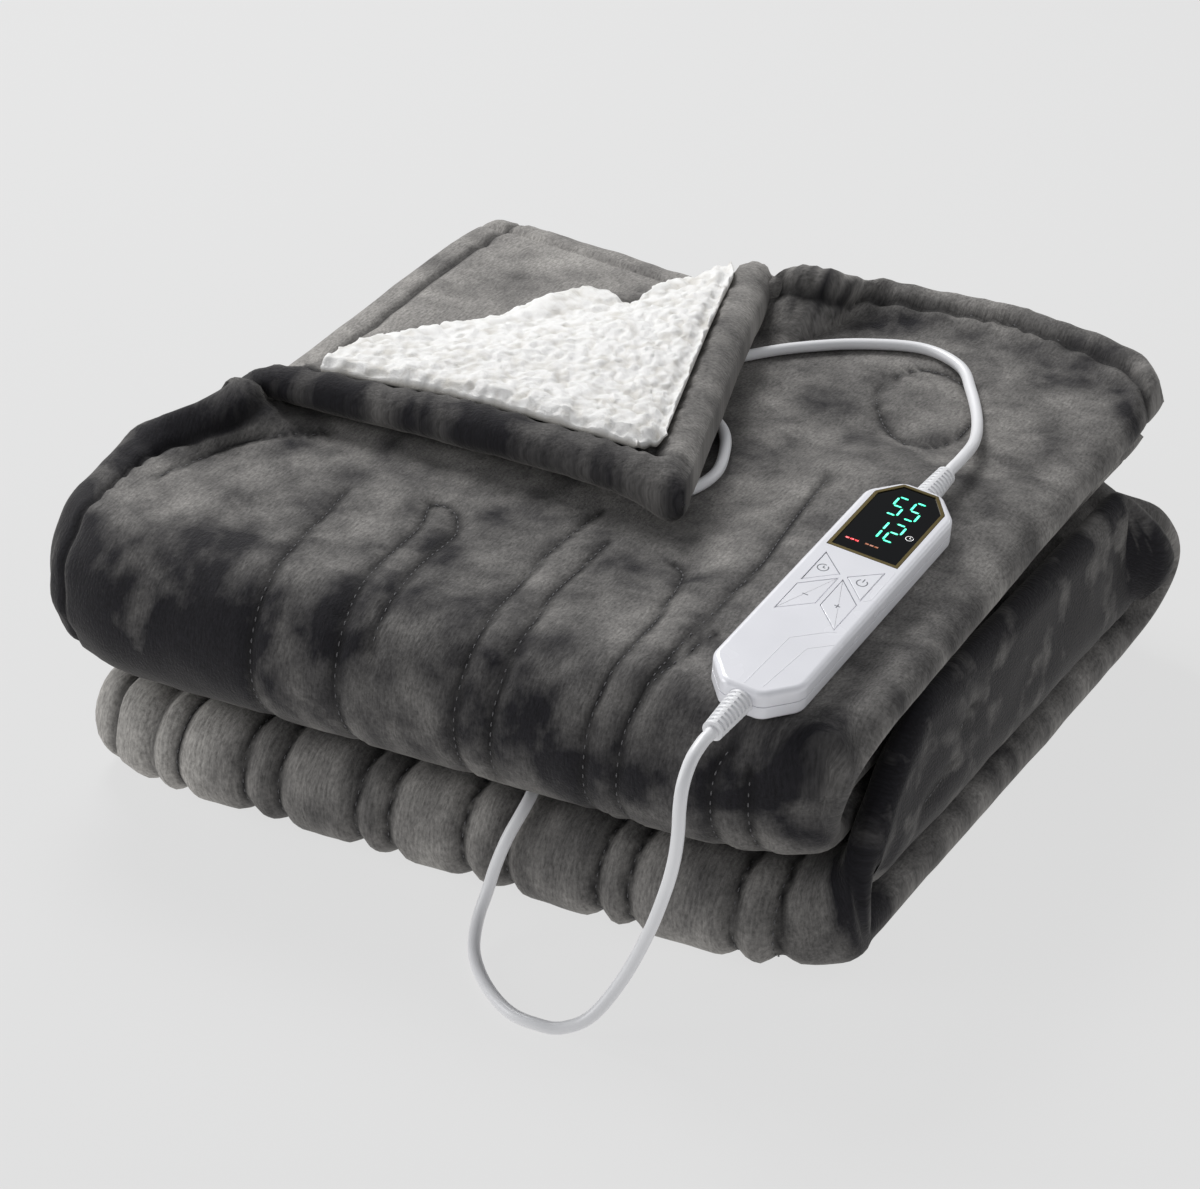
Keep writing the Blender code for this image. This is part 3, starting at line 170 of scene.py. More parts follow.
# ---------------------------------------------------------------- cords, coil and plug
CORD = 0.0062
CLOTH_MARGIN = 0.0005
STRAIGHT = (0, 0.004, 0.009)
RELIEF_LENGTH, RELIEF_WIDE, RELIEF_NARROW = 0.026, 0.0064, 0.0052
CONNECTOR_SIZE = (0.036, 0.022, 0.0085)
CONNECTOR_AT = (-0.0315, 0.0405)
CONTROL_DROP = ((0.160, 0.043, 0.1667), (0.154, 0.073, 0.1605), (0.142, 0.104, 0.1558))
CONTROL_LIE = ((0.126, 0.132), (0.109, 0.155), (0.083, 0.164), (0.052, 0.152), (0.026, 0.132),
               (0.008, 0.112), (-0.004, 0.092), (-0.005, 0.072), (0.004, 0.053), (0.020, 0.038),
               (0.035, 0.024), (0.045, 0.005), (0.051, -0.016), (0.048, -0.036), (0.038, -0.048),
               (0.024, -0.052), (0.010, -0.048), (-0.001, -0.037), (-0.006, -0.021),
               (-0.012, -0.003))
FLOOR = CORD / 2 + 0.0002
GAP_HEIGHT = 0.0607
MAINS_FRONT = ((0.1577, -0.2408, 0.1507), (0.1580, -0.2490, 0.1425), (0.1580, -0.2520, 0.1312),
               (0.1572, -0.2515, 0.1170), (0.1545, -0.2498, 0.1000), (0.1495, -0.2485, 0.0800),
               (0.1422, -0.2510, 0.0550), (0.133, -0.259, 0.030),
               (0.122, -0.269, 0.011), (0.109, -0.275, FLOOR), (0.097, -0.278, FLOOR),
               (0.084, -0.277, FLOOR), (0.070, -0.270, FLOOR), (0.055, -0.258, FLOOR),
               (0.043, -0.244, 0.0045), (0.037, -0.230, 0.011), (0.0365, -0.220, 0.021),
               (0.038, -0.2145, 0.033), (0.041, -0.208, 0.0465), (0.0435, -0.197, 0.0570),
               (0.0415, -0.183, GAP_HEIGHT))
MAINS_INSIDE = ((0.030, -0.150), (0.005, -0.115), (-0.035, -0.085), (-0.080, -0.060),
                (-0.130, -0.035), (-0.180, -0.005), (-0.215, 0.020))
MAINS_BACK = ((-0.240, 0.042, 0.0600), (-0.261, 0.070, 0.0510), (-0.273, 0.100, 0.0340),
              (-0.276, 0.130, 0.0160), (-0.271, 0.160, 0.0060), (-0.262, 0.190, FLOOR),
              (-0.243, 0.222, FLOOR), (-0.213, 0.245, FLOOR))
COIL_AT = (-0.150, 0.290)
COIL_INNER, COIL_OUTER = 0.0278, 0.0402
COIL_LOW, COIL_HIGH = 0.0015, 0.0201
COIL_LEAD_X = 0.0222
COIL_PASS = 0.58         # share of a turn after which the cord passes to the next lane
# the six turns of the coil in order: radius and height of the cord's middle
COIL_LANES = ((0.0371, 0.0046), (0.0309, 0.0046), (0.0309, 0.0108), (0.0309, 0.0170),
              (0.0371, 0.0170), (0.0371, 0.0108))
# how far each turn swings out and up where it passes to the next lane, clear of its neighbours
COIL_ASIDE = ((0.0015, 0), (-0.0015, 0), (-0.0015, 0), (0, 0.0015), (0.0015, 0), (0.003, 0))
TIE_WIDTH, TIE_THICK, TIE_SIDE = 0.009, 0.0012, 0.0009
PLUG_LENGTH, PLUG_WIDTH, PLUG_NECK = 0.036, 0.035, 0.012
PLUG_SHOULDER, PLUG_THICK, PLUG_X = 0.016, 0.0137, -0.1150
PIN_RADIUS, PIN_LENGTH, PIN_SPACING = 0.0020, 0.019, 0.0186
LEAD_STEPS, CONTROL_STEPS = 620, 170

# ---------------------------------------------------------------- the view
AZIMUTH, ELEVATION, DISTANCE = radians(29.5), radians(31.5), 1.78
AIM = Vector((-0.008, -0.0306, 0.075))
LENS, SENSOR = 102.0, 36.0


def linear(colour):
    """The linear colour of an sRGB hex value."""
    parts = [int(colour[n:n + 2], 16) / 255 for n in (0, 2, 4)]
    return tuple(c / 12.92 if c <= 0.04045 else ((c + 0.055) / 1.055) ** 2.4 for c in parts)


def shade(name, value, about):
    return FloatVectorProperty(name=name, description=about, subtype="COLOR", size=3,
                               min=0, max=1, default=linear(value))


def length(name, value, about):
    return FloatProperty(name=name, description=about, subtype="DISTANCE", unit="LENGTH",
                         min=0, default=value, precision=5)


class BlanketSizes(PropertyGroup):
    """Sizes that a user would change."""
    stitch_pitch: length("Stitch pitch", 0.0042, "From one stitch to the next")
    stitch_long: length("Stitch length", 0.0027, "Length of thread that shows in a stitch")
    stitch_thick: length("Thread", 0.0008, "Thickness of the thread")
    quilting_deep: length("Quilting depth", 0.0020, "How far a row of stitching draws the pile in")
    quilting_wide: length("Quilting width", 0.0042, "Half width of the groove beside a row")
    pucker_deep: length("Pucker depth", 0.0007, "Height of the puckers along a row")
    pile_lump: length("Pile unevenness", 0.0011, "Height of the cloth's soft lumps")
    curl_size: length("Curl size", 0.0058, "Width of one curl of the lining's pile")
    curl_high: length("Curl height", 0.0024, "Height of the curls")
    case_round: length("Case rounding", 0.0030, "Radius along the edges of the controller's face")
    digit_high: length("Digit height", 0.0156, "Height of the display's digits")
    digit_wide: length("Digit width", 0.0056, "Width of the display's digits")


class BlanketColours(PropertyGroup):
    """Colours that a user would change."""
    pile_dark: shade("Pile, dark", "1D1C20", "Flannel where its pile lies away from the light")
    pile_light: shade("Pile, light", "A09D99", "Flannel where its pile stands up to the light")
    curls: shade("Lining", "F1F0EE", "Curly pile of the lining")
    # painted shade between the lining's curls
    curls_shade: shade("Lining, deep", "CFCBC3", "Between the lining's curls")
    thread: shade("Thread", "6A696B", "Quilting thread")
    case: shade("Case", "F5F5FA", "Controller, reliefs, connector and plug")
    ink: shade("Key print", "6E7178", "Symbols on the keys")
    glass: shade("Window", "08090B", "Display window")
    bezel: shade("Window edge", "75673F", "Bevel round the display window")
    digits: shade("Digits", "35E6AE", "Lit digits")
    red: shade("Red lamp", "E0202A", "Red lamp in the display")
    amber: shade("Amber lamp", "8A4310", "Amber lamp in the display, dimmed")
    cord: shade("Cord", "EDEDEF", "Cord jacket")
    tie: shade("Tie", "4A4B4E", "Tie round the coil")
    metal: shade("Pins", "C9C7C1", "Plug pins")
    floor: shade("Floor", "E6E6E6", "Plain floor")


# ---------------------------------------------------------------- the strip's path, as its solid's
def mix(a, b, share):
    return a + (b - a) * share


def ease(share):
    share = min(1.0, max(0.0, share))
    return share * share * (3 - 2 * share)


def fade(value, whole, gone):
    return ease((gone - value) / (gone - whole))


def across_share(x):
    return 0.5 + 0.5 * x / HALF_WIDTH


def turn_centre(turn, x):
    centre = mix(turn.y_left, turn.y_right, across_share(x))
    ply = PLIES[turn.to]
    near_end = min(x - ply.left_front, ply.right_front - x)
    short = max(0.0, 1 - max(0.0, near_end) / CORNER_REACH)
    return centre - turn.side * CORNER_RECESS * short ** 2


def turn_radius(turn):
    return abs(PLIES[turn.above_or_from].level - PLIES[turn.to].level) / 2


TOP_START = (TURNS[0].y_left + TURNS[0].y_right) / 2


def lay_out():
    """The pattern's stretches in order: kind, number of the fold, v at the start and the end."""
    stretches = []
    v = TOP_START
    for number, turn in enumerate(TURNS):
        span = pi * turn_radius(turn)
        stretches.append(("turn", number, v, v - span))
        v -= span
        if number + 1 < len(TURNS):
            span = abs(turn_centre(TURNS[number + 1], 0) - turn_centre(turn, 0))
        else:
            span = abs(mix(*SECOND_HEM, 0.5) - turn_centre(turn, 0))
        stretches.append(("ply", number, v, v - span))
        v -= span
    return stretches


STRETCHES = lay_out()
UPPER = STRETCHES[0]
LOWER = next(row for row in STRETCHES if row[0] == "turn" and TURNS[row[1]].to == "bottom")
FIFTH = next(row for row in STRETCHES if row[0] == "ply" and TURNS[row[1]].to == "fifth")
COLLAR_FROM, COLLAR_TO = FIFTH[2] + COLLAR_LEAD, LOWER[3] - 0.005
# the collar gets lower towards the front: distance behind the lower roll and share of its height
COLLAR_HEIGHTS = ((-0.050, 0.0), (-0.024, 0.15), (0.0, 0.42), (0.020, 0.75), (0.050, 1.0))


def stretch_at(v):
    for row in STRETCHES:
        if v >= row[3] - 1e-9:
            return row
    return STRETCHES[-1]


def ply_edges(name, depth):
    ply = PLIES[name]
    share = min(1.3, max(0.0, (depth + 0.2) / 0.4))
    left = mix(ply.left_front, ply.left_back, share)
    if name == "top" and depth > FOLD_LEFT.y:
        past_line = (depth - FOLD_LEFT.y) / (FLAT_CORNER.y - FOLD_LEFT.y)
        left = mix(FOLD_LEFT.x, FLAT_CORNER.x, past_line)
    elif name == "top" and depth > EDGE_BEND:
        left = mix(left, FOLD_LEFT.x, ease((depth - EDGE_BEND) / (FOLD_LEFT.y - EDGE_BEND)))
    return left, mix(ply.right_front, ply.right_back, share)


def edges_at(v):
    if v >= TOP_START:
        return ply_edges("top", v)
    kind, number, start, end = stretch_at(v)
    turn = TURNS[number]
    share = (start - v) / (start - end)
    here = turn_centre(turn, 0)
    if kind == "turn":
        first = ply_edges(turn.above_or_from, here)
        last = ply_edges(turn.to, here)
        left, right = (mix(a, b, ease(share)) for a, b in zip(first, last))
        return left, right + turn.swell * fade(abs(share - SWELL_AT), 0.0, SWELL_AT)
    there = turn_centre(TURNS[number + 1], 0) if number + 1 < len(TURNS) else 0.2
    return ply_edges(turn.to, mix(here, there, share))


def collar_share(v):
    return ease((COLLAR_FROM - v) / COLLAR_FADE) * ease((v - COLLAR_TO) / COLLAR_FADE)


def collar_start(v):
    share = (FIFTH[2] - v) / (FIFTH[2] - FIFTH[3])
    return mix(COLLAR_BACK, COLLAR_FRONT, min(1.0, max(0.0, share)))


def right_edge(v):
    height = COLLAR_RISE * float(np.interp(v - LOWER[2], *zip(*COLLAR_HEIGHTS)))
    full = collar_start(v) + COLLAR_BEND * pi / 2 + height
    return mix(edges_at(v)[1], full, collar_share(v))


def hem_depth(hem, x):
    return mix(hem[0], hem[1], across_share(x))


def top_hem(x):
    for (x0, y0), (x1, y1) in zip(TOP_HEM, TOP_HEM[1:]):
        if x <= x1:
            return mix(y0, y1, (x - x0) / (x1 - x0))
    return TOP_HEM[-1][1]


def profile(x, v):
    """Depth, height and thickness of the strip's middle, its plies, and the share between them."""
    if v >= TOP_START:
        shift = turn_centre(TURNS[0], x) - TOP_START
        near = ease(1 - (v - TOP_START) / SLANT_FADE)
        return v + shift * near, PLIES["top"].level, PLIES["top"].thick, "top", "top", 0.0
    kind, number, start, end = stretch_at(v)
    turn = TURNS[number]
    first, last = PLIES[turn.above_or_from], PLIES[turn.to]
    share = (start - v) / (start - end)
    centre = turn_centre(turn, x)
    if kind == "turn":
        angle = pi * share
        radius = turn_radius(turn)
        down = 1 if first.level > last.level else -1
        depth = centre + turn.side * radius * sin(angle)
        height = (first.level + last.level) / 2 + down * radius * cos(angle)
        thick = mix(first.thick, last.thick, ease(share))
        return depth, height, thick, turn.above_or_from, turn.to, share
    if number + 1 < len(TURNS):
        target = turn_centre(TURNS[number + 1], x)
    else:
        target = hem_depth(SECOND_HEM, x)
    return mix(centre, target, share), last.level, last.thick, turn.to, turn.to, 1.0


def crown(x, y):
    return CROWN * max(0.0, 1 - (x / 0.24) ** 2) * max(0.0, 1 - (y / 0.23) ** 2)


def droop(y):
    return DROOP * max(0.0, (y - DROOP_FROM) / 0.06) ** 2


def bed_share(x, y):
    """How far the cloth follows the slope of the controller that lies on it."""
    share = fade(x, BED_RIGHT, BED_RIGHT_END) * fade(-x, -BED_LEFT, -BED_LEFT_END)
    return share * fade(y, BED_BACK, BED_BACK_END) * fade(-y, -BED_FRONT, -BED_FRONT_END)


def bed_rise(x, y, surface):
    normal = CONTROL_FRAME.to_3x3() @ Vector((0, 0, 1))
    away = Vector((x, y)) - CONTROL_AT.xy
    height = CONTROL_AT.z - (normal.x * away.x + normal.y * away.y) / normal.z - TOUCH
    return bed_share(x, y) * (height - surface)


LINE = (FOLD_BACK - FOLD_LEFT).normalized()
BEYOND = Vector((-LINE.y, LINE.x))
LINE_LENGTH = (FOLD_BACK - FOLD_LEFT).length
CORNER_FAR = (FLAT_CORNER - FOLD_LEFT).dot(BEYOND)
CORNER_ALONG = (FLAT_CORNER - FOLD_LEFT).dot(LINE)


def flap_radius(share):
    space = mix(FLAP_GAP_LEFT, FLAP_GAP_BACK, ease(share))
    thick = PLIES["top"].thick
    return (thick / 2 + FLAP_THICK * thick / 2 + space) / 2


def line_distance(x, y):
    return (Vector((x, y)) - FOLD_LEFT).dot(BEYOND)


def turn_corner(x, y):
    """Where a flat point beyond the corner's fold line goes: new x, new y and the rise."""
    far = line_distance(x, y)
    if far <= 0:
        return x, y, 0.0
    tip = TIP - FOLD_LEFT
    share = far / CORNER_FAR
    along = (Vector((x, y)) - FOLD_LEFT).dot(LINE) - share * CORNER_ALONG
    line_share = min(1.0, max(0.0, along / (LINE_LENGTH * (1 - share) + 1e-6)))
    radius = flap_radius(mix(line_share, 1.0, share))
    reach = share * (pi * radius - tip.dot(BEYOND))
    new_along = along + share * tip.dot(LINE)
    if reach < pi * radius:
        offset, rise = radius * sin(reach / radius), radius * (1 - cos(reach / radius))
    else:
        offset, rise = pi * radius - reach, 2 * radius
    place = FOLD_LEFT + LINE * new_along + BEYOND * offset
    return place.x, place.y, rise


def collar_place(x, v):
    share = collar_share(v)
    start = collar_start(v)
    past = x - start
    if share == 0 or past <= 0:
        return x, 0.0
    full = share * pi / 2
    angle = min(full, past / COLLAR_BEND)
    straight = max(0.0, past - COLLAR_BEND * full)
    new_x = start + COLLAR_BEND * sin(angle) + straight * cos(full)
    return new_x, COLLAR_BEND * (1 - cos(angle)) + straight * sin(full)


def fold(x, v):
    """Place of a pattern point on the strip's middle surface."""
    depth, height, thick, first, last, share = profile(x, v)
    rise = 0.0
    new_x = x
    if v >= TOP_START:
        height += EDGE_RISE * fade((Vector((x, depth)) - RISE_AT).length, 0.0, RISE_REACH)
        new_x, depth, rise = turn_corner(x, depth)
    elif COLLAR_TO <= v <= COLLAR_FROM:
        new_x, rise = collar_place(x, v)
    raised = mix(CROWN_SHARE[first], CROWN_SHARE[last], ease(share))
    height += raised * crown(new_x, depth) - (droop(depth) if raised > 0.5 else 0.0)
    if v >= UPPER[3] and share < 0.4:
        height += bed_rise(new_x, depth, height + thick / 2)
    elif last == "second" and share > 0.6:
        below = (PLIES["top"].thick + PLIES["second"].thick) / 2
        height += bed_rise(new_x, depth, height + below + thick / 2)
    return Vector((new_x, depth, height + rise))


def top_surface(x, y):
    surface = PLIES["top"].level + PLIES["top"].thick / 2 + crown(x, y) - droop(y)
    return surface + bed_rise(x, y, surface)


def cloth_normal(x, v):
    step = 0.0005
    across = fold(x + step, v) - fold(x - step, v)
    along = fold(x, v + step) - fold(x, v - step)
    return across.cross(along).normalized()


def rounded_rim(distance, half):
    inner = 1 - min(distance, half) / half
    return max(THINNEST, sqrt(max(0.0, 1 - inner * inner)))


def groove(distance, half, depth):
    return 1 - depth * (1 - ease(abs(distance) / half))


def edge_distances(x, v):
    """Distances in from the left, right, top and second hems."""
    left = x - edges_at(v)[0]
    right = right_edge(v) - x
    top = top_hem(x) - v
    second = (hem_depth(SECOND_HEM, x) - profile(x, v)[0]) if v < STRETCHES[-1][2] else 1.0
    return left, right, top, second


def thickness(x, v):
    """Thickness of the padded cloth, quilting left out."""
    thick = profile(x, v)[2]
    left, right, top, second = edge_distances(x, v)
    share = rounded_rim(left, RIM_HALF) * rounded_rim(right, RIM_HALF)
    share *= rounded_rim(top, RIM_HALF) * rounded_rim(second, RIM_HALF)
    side_depth = GROOVE_DEPTH * (0.35 + 0.65 * ease(top / HEM_GROOVE))
    share *= groove(left - HEM_GROOVE, GROOVE_HALF, side_depth)
    share *= groove(top - HEM_GROOVE, GROOVE_HALF, GROOVE_DEPTH * ease(2 * left / HEM_GROOVE - 1))
    share *= groove(second - HEM_GROOVE, GROOVE_HALF, GROOVE_DEPTH)
    if v >= TOP_START:
        in_hem = max(ease((HEM_GROOVE - left) / 0.008), ease((HEM_GROOVE - top) / 0.008))
        turned = ease(line_distance(x, v) / 0.02 + 1)
        puff = mix(1.0, HEM_PUFF, max(turned, top < 0.03))
        share *= mix(mix(1.0, FLAP_THICK, turned), puff, in_hem)
    if COLLAR_TO < v < COLLAR_FROM:
        past = x - collar_start(v)
        share *= mix(1.0, COLLAR_THICK, ease(past / 0.03) * collar_share(v))
    return thick * share


# ---------------------------------------------------------------- making and finishing pieces
def open_piece(name):
    """Name the new primitive, which is the active object."""
    thing = bpy.context.object
    thing.name = name
    thing.data.name = name
    return thing


def clear_selection():
    if bpy.context.object and bpy.context.object.mode != "OBJECT":
        bpy.ops.object.mode_set(mode="OBJECT")
    bpy.ops.object.select_all(action="DESELECT")


def select_only(thing):
    clear_selection()
    bpy.context.view_layer.objects.active = thing
    thing.select_set(True)


def face_outward():
    """From edit mode: turn all faces outward, and go back to object mode."""
    bpy.ops.mesh.select_all(action="SELECT")
    bpy.ops.mesh.normals_make_consistent(inside=False)
    bpy.ops.object.mode_set(mode="OBJECT")


def rectangle(left, right, low, high):
    return (left, low), (right, low), (right, high), (left, high)


def plate(name, outline, low, high):
    """A flat block: a disc whose corners go to the outline, extruded."""
    clear_selection()
    bpy.ops.mesh.primitive_circle_add(vertices=len(outline), radius=0.01, fill_type="NGON")
    thing = open_piece(name)
    for vert, (x, y) in zip(thing.data.vertices, outline):
        vert.co = (x, y, low)
    bpy.ops.object.mode_set(mode="EDIT")
    bpy.ops.mesh.select_all(action="SELECT")
    bpy.ops.mesh.extrude_region_move(TRANSFORM_OT_translate={"value": (0, 0, high - low)})
    face_outward()
    return thing


def lathe(name, sections, sides):
    """A turned form: a disc extruded and resized from section (radius, height) to section."""
    clear_selection()
    radius, height = sections[0]
    bpy.ops.mesh.primitive_circle_add(vertices=sides, radius=radius, fill_type="NGON",
                                      location=(0, 0, height))
    thing = open_piece(name)
    bpy.ops.object.transform_apply(location=True)
    bpy.ops.object.mode_set(mode="EDIT")
    bpy.ops.mesh.select_all(action="SELECT")
    for (before, low), (after, high) in zip(sections, sections[1:]):
        bpy.ops.mesh.extrude_region_move(TRANSFORM_OT_translate={"value": (0, 0, high - low)})
        size = after / before
        bpy.ops.transform.resize(value=(size, size, 1), center_override=(0, 0, high))
    face_outward()
    return thing


def round_edges(thing, rule, width, segments):
    """Bevel, in edit mode, the edges that a rule on their two ends picks."""
    bpy.context.view_layer.objects.active = thing
    mesh = thing.data
    for part in (mesh.vertices, mesh.edges, mesh.polygons):
        part.foreach_set("select", [False] * len(part))
    for edge in mesh.edges:
        a, b = (mesh.vertices[number] for number in edge.vertices)
        if rule(a.co, b.co):
            edge.select = a.select = b.select = True
    bpy.context.tool_settings.mesh_select_mode = (False, True, False)
    bpy.ops.object.mode_set(mode="EDIT")
    bpy.ops.mesh.bevel(offset=width, segments=segments, affect="EDGES")
    bpy.ops.object.mode_set(mode="OBJECT")


def upright(a, b):
    return abs(a.z - b.z) > 1e-5 and (a.xy - b.xy).length < 1e-5


def level_at(height):
    return lambda a, b: abs(a.z - height) < 1e-5 and abs(b.z - height) < 1e-5


def apply_modifier(thing, kind, **settings):
    select_only(thing)
    made = thing.modifiers.new("work", kind)
    for name, value in settings.items():
        setattr(made, name, value)
    bpy.ops.object.modifier_apply(modifier=made.name)


def cut_out(thing, tool):
    apply_modifier(thing, "BOOLEAN", operation="DIFFERENCE", solver="EXACT", object=tool)
    bpy.data.objects.remove(tool)


def join(name, things):
    clear_selection()
    for thing in things:
        thing.select_set(True)
    bpy.context.view_layer.objects.active = things[0]
    bpy.ops.object.join()
    return open_piece(name)


def copy_of(thing, place):
    """A copy with its own mesh, moved."""
    made = thing.copy()
    made.data = thing.data.copy()
    made.data.transform(place)
    bpy.context.scene.collection.objects.link(made)
    return made


def settle(thing, material, replaced=(), body="root", place=None, smooth=32):
    """Put a finished piece in its place with its finish, and let it ride on its body."""
    bpy.context.view_layer.update()
    thing.data.transform((place or Matrix.Identity(4)) @ thing.matrix_world)
    thing.matrix_world = Matrix.Identity(4)
    thing.data.materials.clear()
    thing.data.materials.append(material)
    select_only(thing)
    if smooth:
        bpy.ops.object.shade_smooth_by_angle(angle=radians(smooth))
    if 0 < smooth < 60:
        apply_modifier(thing, "WEIGHTED_NORMAL", keep_sharp=True, weight=90)
    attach(thing, body)
    if replaced:
        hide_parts(*replaced)
    return thing


def rod(name, points, radius, resolution):
    """A round rod along points, as a curve."""
    curve = bpy.data.curves.new(name, "CURVE")
    curve.dimensions = "3D"
    curve.bevel_depth = radius
    curve.bevel_resolution = resolution
    curve.use_fill_caps = True
    spline = curve.splines.new("POLY")
    spline.points.add(len(points) - 1)
    for point, place in zip(spline.points, points):
        point.co = (*place, 1)
    spline.use_smooth = True
    made = bpy.data.objects.new(name, curve)
    bpy.context.scene.collection.objects.link(made)
    return made


def stroke(name, lines, width, height):
    """Raised lines of a print or a mark, each a flat run of points, as one mesh."""
    made = [rod(f"{name}_{number}", [(x, y, 0) for x, y in points], width / 2, 2)
            for number, points in enumerate(lines)]
    clear_selection()
    for thing in made:
        thing.select_set(True)
    bpy.context.view_layer.objects.active = made[0]
    bpy.ops.object.convert(target="MESH")
    whole = join(name, made) if len(made) > 1 else open_piece(name)
    whole.data.transform(Matrix.Diagonal((1, 1, height / width, 1)))
    return whole


def arc(x, y, radius, start, end, steps=28):
    """Points along an arc, angles in degrees."""
    angles = [radians(mix(start, end, n / steps)) for n in range(steps + 1)]
    return [(x + radius * cos(a), y + radius * sin(a)) for a in angles]


# ---------------------------------------------------------------- materials
def add_node(tree, kind, values=None, links=None, **settings):
    """Add a node with its settings, its sockets' values and what is linked into them."""
    made = tree.nodes.new(kind)
    for name, value in settings.items():
        setattr(made, name, value)
    for socket, value in (values or {}).items():
        made.inputs[socket].default_value = value
    for socket, source in (links or {}).items():
        tree.links.new(source, made.inputs[socket])
    return made


def new_material(name, **values):
    """A Principled material, its tree and its shader."""
    material = bpy.data.materials.new(name)
    material.use_nodes = True
    shader = material.node_tree.nodes["Principled BSDF"]
    for socket, value in values.items():
        shader.inputs[socket.replace("_", " ")].default_value = value
    return material, material.node_tree, shader


def object_place(tree):
    """Each point's own place, in metres."""
    return add_node(tree, "ShaderNodeTexCoord").outputs["Object"]


def stretched(tree, place, scale):
    return add_node(tree, "ShaderNodeMapping", {"Scale": scale}, {"Vector": place}).outputs[0]


def attribute(tree, name):
    return add_node(tree, "ShaderNodeAttribute", attribute_name=name).outputs["Fac"]


def cloud(tree, place, scale, detail=2, roughness=0.5, distortion=0.0):
    """Noise with about so many features to the metre."""
    return add_node(tree, "ShaderNodeTexNoise", {
        "Scale": scale, "Detail": detail, "Roughness": roughness, "Distortion": distortion},
        {"Vector": place}).outputs["Fac"]


def spread(tree, value, low, high, to_low, to_high):
    """A Map Range from one span of values to another."""
    return add_node(tree, "ShaderNodeMapRange",
                    {"From Min": low, "From Max": high, "To Min": to_low, "To Max": to_high},
                    {"Value": value}).outputs["Result"]


def blend_colours(tree, share, a, b):
    made = add_node(tree, "ShaderNodeMix", data_type="RGBA")
    made.inputs[6].default_value = (*a, 1) if isinstance(a, tuple) else (0, 0, 0, 1)
    made.inputs[7].default_value = (*b, 1) if isinstance(b, tuple) else (0, 0, 0, 1)
    tree.links.new(share, made.inputs[0])
    for socket, value in ((6, a), (7, b)):
        if not isinstance(value, tuple):
            tree.links.new(value, made.inputs[socket])
    return made.outputs[2]


def mottle(tree, shader, share, colour, dark):
    """Base colour between a darker and the full tone of a colour."""
    darker = tuple(dark * part for part in colour)
    tree.links.new(blend_colours(tree, share, darker, tuple(colour)), shader.inputs["Base Color"])


def bump(tree, height, distance, strength=1.0, under=None):
    links = {"Height": height}
    if under:
        links["Normal"] = under
    return add_node(tree, "ShaderNodeBump", {"Distance": distance, "Strength": strength},
                    links).outputs["Normal"]


def colours():
    return bpy.context.scene.blanket_colours


def sizes():
    return bpy.context.scene.blanket_sizes


def flannel():
    """Crushed plush flannel, knitted polyester with a 2 mm pile brushed every way: dark where the
    pile lies flat towards the eye, grey where it stands, with a soft sheen at grazing angles. Its
    colour also carries painted shade and painted highlight over parts of the throw, and painted
    shade in the grooves."""
    c = colours()
    material, tree, shader = new_material(
        "polyester_flannel_crushed", Roughness=0.86, Sheen_Weight=0.27, Sheen_Roughness=0.42,
        Sheen_Tint=(*linear("C9C6C0"), 1), Specular_IOR_Level=0.22)
    uv = add_node(tree, "ShaderNodeUVMap", uv_map="pattern").outputs["UV"]
    # hand-sized strokes of the pile, 70 mm and 26 mm across
    wide = cloud(tree, uv, 15, 3, distortion=0.12)
    small = spread(tree, cloud(tree, uv, 42, 4, 0.55, 0.25), 0, 1, 0.0, 0.45)
    both = add_node(tree, "ShaderNodeMath", {1: 0.55}, {0: wide, 2: small},
                    operation="MULTIPLY_ADD").outputs[0]
    # the cloth's painted shade and painted highlight by its parts, added to the pile's random strokes
    toned = add_node(tree, "ShaderNodeMath", links={0: both, 1: attribute(tree, "tone")},
                     operation="ADD").outputs[0]
    share = spread(tree, toned, 0.35, 0.80, 0, 1)
    # the knit's ribs, 1.3 mm apart, show through the pile as short streaks
    fibre = cloud(tree, stretched(tree, uv, (760, 210, 1)), 1, roughness=0.6)
    tuft = cloud(tree, uv, 620, roughness=0.7)
    grain = add_node(tree, "ShaderNodeMath", links={0: fibre, 1: tuft}, operation="ADD").outputs[0]
    base = blend_colours(tree, share, tuple(c.pile_dark), tuple(c.pile_light))
    grained = add_node(tree, "ShaderNodeHueSaturation", {"Saturation": 1.0}, {
        "Value": spread(tree, grain, 0.7, 1.3, 0.62, 1.42), "Color": base}).outputs["Color"]
    # painted shade: the colour goes to near black in the grooves beside the stitching and the hems
    deep = blend_colours(tree, attribute(tree, "hollow_shade"), grained, linear("121113"))
    tree.links.new(deep, shader.inputs["Base Color"])
    rough = bump(tree, tuft, 0.0006, 0.7)
    tree.links.new(bump(tree, fibre, 0.0005, 0.6, rough), shader.inputs["Normal"])
    return material


def sherpa():
    """Sherpa: long curly polyester pile, felted into soft curls about 5 mm wide, matt and white,
    with a little shade between the curls."""
    c = colours()
    material, tree, shader = new_material(
        "sherpa_pile_curled", Roughness=0.95, Sheen_Weight=0.35, Sheen_Roughness=0.6,
        Specular_IOR_Level=0.15, Subsurface_Weight=0.0)
    place = object_place(tree)
    # painted shade: the lining takes its darker colour between the curls
    deep = spread(tree, attribute(tree, "hollow_shade"), 0.15, 0.95, 0, 1)
    base = blend_colours(tree, deep, tuple(c.curls), tuple(c.curls_shade))
    tree.links.new(base, shader.inputs["Base Color"])
    coarse = bump(tree, cloud(tree, place, 420, 3, 0.65, 1.6), 0.0008, 0.7)
    hair = cloud(tree, place, 1500, roughness=0.7)
    tree.links.new(bump(tree, hair, 0.0003, 0.6, coarse), shader.inputs["Normal"])
    return material


